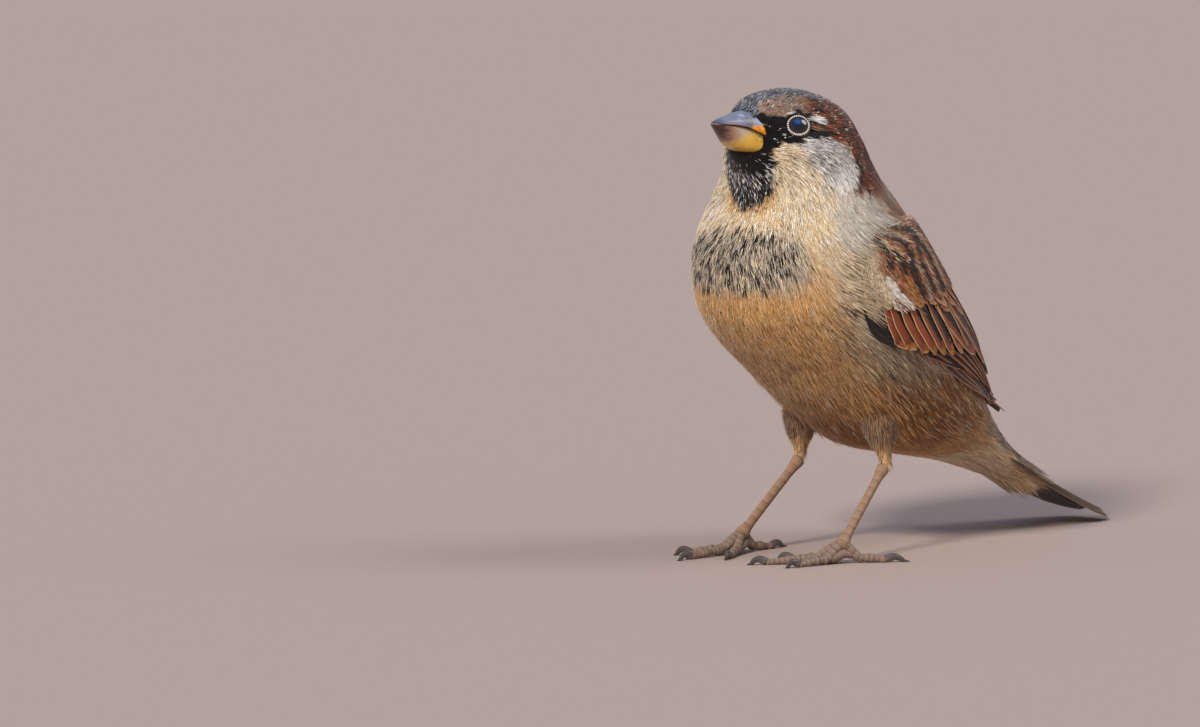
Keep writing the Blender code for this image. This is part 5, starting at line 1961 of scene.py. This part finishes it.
def bristles(body: BodyForm, shape: Repeated, finish: Finish) -> Piece:
    """Fine dark hairs at the gape and the chin."""
    chance = np.random.default_rng(31)
    at = np.concatenate([chance.uniform(0.1, 0.9, 26), chance.uniform(0.05, 0.7, 40)])
    g = np.concatenate([chance.uniform(70.0, 108.0, 26), chance.uniform(128.0, 180.0, 40)])
    angle = np.radians(g * chance.choice([-1.0, 1.0], g.size))
    points = body.point(at, angle, -0.2)
    ahead = np.where(g > 120, 0.1, 0.5)[:, None] * np.array([0.0, -1.0, -0.2])
    ways = unit(0.9 * body.normal(at, angle) + ahead + 0.2 * chance.standard_normal((g.size, 3)))
    sizes = np.where(g > 120, chance.uniform(0.9, 1.9, g.size), chance.uniform(1.2, 2.4, g.size))
    made = shape.build("bristles", points, ways, sizes, np.tile(Hue.BLACK.tint, (g.size, 1)), finish)
    return settle(made, "crown_grey")


@dataclass(frozen=True)
class Foot:
    """Where one foot stands: its hub, its heel and the way its middle toe points, in degrees to the bird's left."""

    side: str
    hub: Place
    heel: Place
    points: float


@dataclass(frozen=True)
class Toe:
    """One toe, with its claw."""

    name: str
    angle: float
    start: float
    length: float
    claw: float


FEET = (
    Foot("left", (12.5, 0.5, 3.5), (10.5, 14.5, 16.6), -38.0),
    Foot("right", (-12.5, 0.5, 3.5), (-10.5, 14.5, 16.6), 0.0),
)
TOES = (
    Toe("inner", -28.0, 4.4, 10.2, 4.4),
    Toe("middle", 0.0, 3.4, 14.8, 5.0),
    Toe("outer", 28.0, 4.4, 10.8, 4.4),
    Toe("hind", 180.0, 2.9, 8.6, 6.4),
)


@dataclass
class Leg:
    """A scaly lower leg with four padded toes and their hooked claws."""

    foot: Foot
    tarsus: float = 0.78
    toe_radius: float = 0.85
    floor_flat: float = 0.12

    def skin_tint(self, made: Piece, rings: int, around: int, groove: Array, toe: bool = True) -> None:
        """Colours a scaly tube, darker in the grooves between its plates as painted shade."""
        base = linear(128, 108, 94) if toe else linear(146, 116, 92)
        turn = np.linspace(0.0, 2 * math.pi, around, endpoint=False)
        line = 1.0 - 0.55 * np.exp(-(((turn - 3.3) / 0.35) ** 2)) - 0.4 * np.exp(-(((turn - 5.6) / 0.3) ** 2))
        # painted shade: the grooves between plates are darker
        relief = 0.3 + 0.85 * groove if toe else 0.55 + 0.5 * groove
        tint = base * relief[:, None, None] * (1.0 if toe else line[None, :, None]) * np.ones((rings, around, 1))
        store(made, "tint", tint.reshape(-1, 3))

    def scales(self, share: Array, count: float) -> Array:
        """The swell of overlapping plates along a tube, from 0 in a groove to 1."""
        phase = (share * count) % 1.0
        return ramp(0.0, 0.25, phase) * (1 - 0.55 * phase) + 0.1

    def shank(self, finish: Finish) -> Piece:
        """The lower leg."""
        share = np.linspace(-0.06, 1.04, 110)
        hub, heel = np.array(self.foot.hub), np.array(self.foot.heel)
        path = hub + (heel - hub) * share[:, None]
        t = np.clip(share, 0.0, 1.0)
        swell = 1.0 + 0.62 * np.exp(-((t / 0.09) ** 2)) + 0.5 * np.exp(-(((1 - t) / 0.1) ** 2))
        plates = self.scales(share, 10.0)
        ends = np.sqrt(np.clip(np.minimum(share + 0.06, 1.04 - share) / 0.05, 0.02, 1.0))
        made = tube("shank", rod_rings(path, self.tarsus * swell * (0.95 + 0.06 * plates) * ends, 20, 1.15), finish)
        self.skin_tint(made, 110, 20, plates, False)
        return made

    def toe_path(self, toe: Toe, along: Array) -> Array:
        """Points on a toe's middle line: down off the hub, then level."""
        sign = 1.0 if self.foot.side == "left" else -1.0
        turn = math.radians(self.foot.points + sign * toe.angle)
        way = np.array([math.sin(turn), -math.cos(turn)])
        share = np.clip(along / toe.length, 0.0, 1.0)
        fall = 1.0 - ramp(0.0, 0.42, share)
        rest = self.toe_radius * (1.0 - 0.28 * share) - self.floor_flat
        up = rest + (self.foot.hub[2] - rest) * fall + 0.35 * np.sin(math.pi * share) ** 2
        flat = np.array(self.foot.hub[:2]) + way * along[:, None]
        return np.concatenate([flat, up[:, None]], 1)

    def toe(self, toe: Toe, finish: Finish) -> Piece:
        """One toe, from inside the hub to the root of its claw."""
        count = 90
        along = np.linspace(0.4, toe.length, count)
        share = np.clip((along - toe.start) / (toe.length - toe.start), 0.0, 1.0)
        joints = 2 if toe.length < 9 else 3
        swell = 1.0 + 0.13 * np.cos(2 * math.pi * (joints * share + 0.15))
        plates = self.scales(along / toe.length, toe.length)
        ends = np.sqrt(np.clip((count - 1 - np.arange(count)) / 4.0, 0.05, 1.0))
        radii = self.toe_radius * (1.0 - 0.28 * share) * swell * (0.93 + 0.1 * plates) * ends
        made = tube("toe", rod_rings(self.toe_path(toe, along), radii, 18), finish)
        self.skin_tint(made, count, 18, plates)
        return made

    def claw(self, toe: Toe, finish: Finish) -> Piece:
        """One hooked claw."""
        end = self.toe_path(toe, np.array([toe.length - 0.3, toe.length]))
        way = unit((end[1] - end[0]) * (1.0, 1.0, 0.0))
        share = np.linspace(0.0, 1.0, 26)
        bend = share * 1.35
        ahead = toe.claw * 0.72 * np.sin(bend) - 0.3
        down = toe.claw * 0.62 * (1.0 - np.cos(bend))
        arch = 0.9 * np.sin(math.pi * np.minimum(share * 1.1, 1.0))
        path = end[1] + way * ahead[:, None]
        path[:, 2] = np.maximum(end[1, 2] + 0.1 + arch - down, 0.1)
        widths = 0.6 * (1.0 - share) ** 0.8 + 0.06
        made = tube("claw", rod_rings(path, widths, 14, 1.25), finish)
        tint = blend(linear(92, 82, 78), linear(38, 35, 38), share[:, None] * np.ones((1, 14)))
        store(made, "tint", tint.reshape(-1, 3))
        return made

    def pad(self, finish: Finish) -> Piece:
        """The fleshy middle of the foot, where the toes meet."""
        hub = np.array(self.foot.hub)
        turn = math.radians(self.foot.points)
        way = np.array([math.sin(turn), -math.cos(turn), 0.0])
        steps = np.linspace(-2.4, 3.4, 40)
        high = np.interp(steps, [-2.4, -1.0, 0.0, 1.5, 3.4], [1.1, 1.7, 1.9, 1.4, 0.9])
        wide = np.interp(steps, [-2.4, -1.7, -0.3, 1.0, 2.2, 3.0, 3.4], [0.1, 1.0, 1.6, 2.0, 2.2, 1.8, 0.2])
        path = hub * (1, 1, 0) + way * steps[:, None] + np.stack([0 * high, 0 * high, high], -1)
        made = tube("pad", rod_rings(path, wide, 20, 0.6), finish)
        self.skin_tint(made, 40, 20, np.full(40, 0.7))
        return made

    def build(self, scaly: Finish, horn: Finish) -> list[Piece]:
        """The foot's two pieces."""
        side = self.foot.side
        flesh = joined(f"leg_{side}", [self.shank(scaly), self.pad(scaly), *(self.toe(t, scaly) for t in TOES)])
        settle(flesh, "scaly_skin", f"tarsus_{side}", f"palm_{side}", *(f"toe_{t.name}_{side}" for t in TOES))
        claws = joined(f"claws_{side}", [self.claw(t, horn) for t in TOES])
        return [flesh, settle(claws, "claw_horn", *(f"claw_{t.name}_{side}" for t in TOES))]


# ---- studio


@dataclass
class Studio:
    """A pale floor, soft light and the camera."""

    azimuth: float = 42.0
    elevation: float = 6.0
    lens: float = 400.0
    distance: float = 2.492
    target_right: float = -35.5
    target_up: float = 33.9

    def camera(self) -> None:
        """A long lens, level with the bird and in front of its left shoulder."""
        back, az = from_side(self.azimuth, self.elevation), math.radians(self.azimuth)
        right = Vector((math.cos(az), math.sin(az), 0.0))
        up = back.cross(right)
        target = Vector((0.0, -BIRD_BACK, 2.5)) + right * self.target_right + up * self.target_up
        data = bpy.data.cameras.new("camera")
        data.lens, data.sensor_width = self.lens, 36.0
        data.clip_start, data.clip_end = 0.05, 60.0
        made = show(bpy.data.objects.new("camera", data))
        made.location = target * MM + back * self.distance
        made.rotation_euler = back.to_track_quat("Z", "Y").to_euler()
        bpy.context.scene.camera = made

    def light(self, name: str, azimuth: float, elevation: float, wide: float, power: float, tint: Place) -> None:
        """A broad, even light from far off."""
        way = from_side(azimuth, elevation)
        data = bpy.data.lights.new(name, "SUN")
        data.angle, data.energy, data.color = math.radians(wide), power, tint
        made = show(bpy.data.objects.new(name, data))
        made.visible_glossy = name != "key"
        made.location = way
        made.rotation_euler = way.to_track_quat("Z", "Y").to_euler()

    def build(self) -> None:
        """Everything that isn't the bird."""
        s = Shader("floor")
        s.set(Base_Color=(*linear(170, 153, 145), 1.0), Roughness=0.9, Specular_IOR_Level=0.1)
        mesh = bpy.data.meshes.new("floor")
        mesh.from_pydata([(-6, -6, 0), (6, -6, 0), (6, 6, 0), (-6, 6, 0)], [], [(0, 1, 2, 3)])
        mesh.materials.append(s.material)
        show(bpy.data.objects.new("floor", mesh))
        world = bpy.data.worlds.new("studio")
        world.use_nodes = True
        tree = world.node_tree
        sky = tree.nodes.new("ShaderNodeTexCoord")
        fade = tree.nodes.new("ShaderNodeValToRGB")
        split = tree.nodes.new("ShaderNodeSeparateXYZ")
        tree.links.new(sky.outputs["Generated"], split.inputs[0])
        tree.links.new(split.outputs["Z"], fade.inputs[0])
        fade.color_ramp.elements[0].color = (*linear(190, 170, 162), 1.0)
        fade.color_ramp.elements[1].color = (*linear(150, 178, 222), 1.0)
        tree.links.new(fade.outputs[0], tree.nodes["Background"].inputs[0])
        tree.nodes["Background"].inputs[1].default_value = 0.68
        bpy.context.scene.world = world
        self.light("key", 16.0, 33.0, 12.0, 3.7, (1.0, 0.94, 0.86))
        self.light("fill", -50.0, 6.0, 50.0, 0.7, (1.0, 0.96, 0.9))
        self.light("rim", 130.0, 45.0, 30.0, 0.9, (1.0, 0.97, 0.93))
        bpy.context.scene.view_settings.view_transform = "Standard"
        self.camera()


def main() -> None:
    """Builds the bird piece by piece, then its studio."""
    logging.basicConfig(level=logging.INFO, format="%(name)s: %(message)s")
    Studio().build()
    body = BodyForm()
    wing_form = WingForm(body)
    soft, down, webs = TuftFinish().material(), SkinFinish().material(), VaneFinish().material()
    horn = PaintedFinish("bill_horn", 0.34, 0.25, 0.02, 1400.0).material()
    scaly = PaintedFinish("scaly_leg", 0.5, 0.0, 0.03, 1800.0).material()
    claw_horn = PaintedFinish("claw_horn_dark", 0.3, 0.2).material()
    wet = PaintedFinish("eye_wet", 0.08, 1.0).material()
    lid_skin = PaintedFinish("lid_skin", 0.5, 0.0, 0.015, 3000.0).material()
    thighs = [ThighForm(1.0), ThighForm(-1.0)]
    socket = EyeSocket()
    eye_centre, eye_way = socket.place(body)
    coat = TuftCoat(body, wing_form, eye_centre + eye_way * socket.depth, eye_way)
    pieces = [Skin(body, thighs).build(coat)]
    pieces += coat.build(thighs, soft)
    ball = Repeated("beads", slim=False)
    pieces.append(bristles(body, Repeated("hairs", slim=True), soft))
    for side, sign in (("left", 1.0), ("right", -1.0)):
        flip = np.array([sign, 1.0, 1.0])
        eye = Eye(eye_centre * flip, eye_way * flip, side)
        pieces += [eye.ball(wet), eye.lids(lid_skin), eye.bead_row(ball, lid_skin)]
    bill = Bill()
    pieces += [bill.half(True, horn), bill.half(False, horn)]
    for mirror in (False, True):
        pieces.append(Wing(wing_form, mirror).build(webs))
    pieces.append(Tail().build(webs))
    for foot in FEET:
        pieces += Leg(foot).build(scaly, claw_horn)
    for piece in pieces:
        LOG.info("%s: %d faces", piece.name, len(piece.data.polygons))


if __name__ == "__main__":
    main()
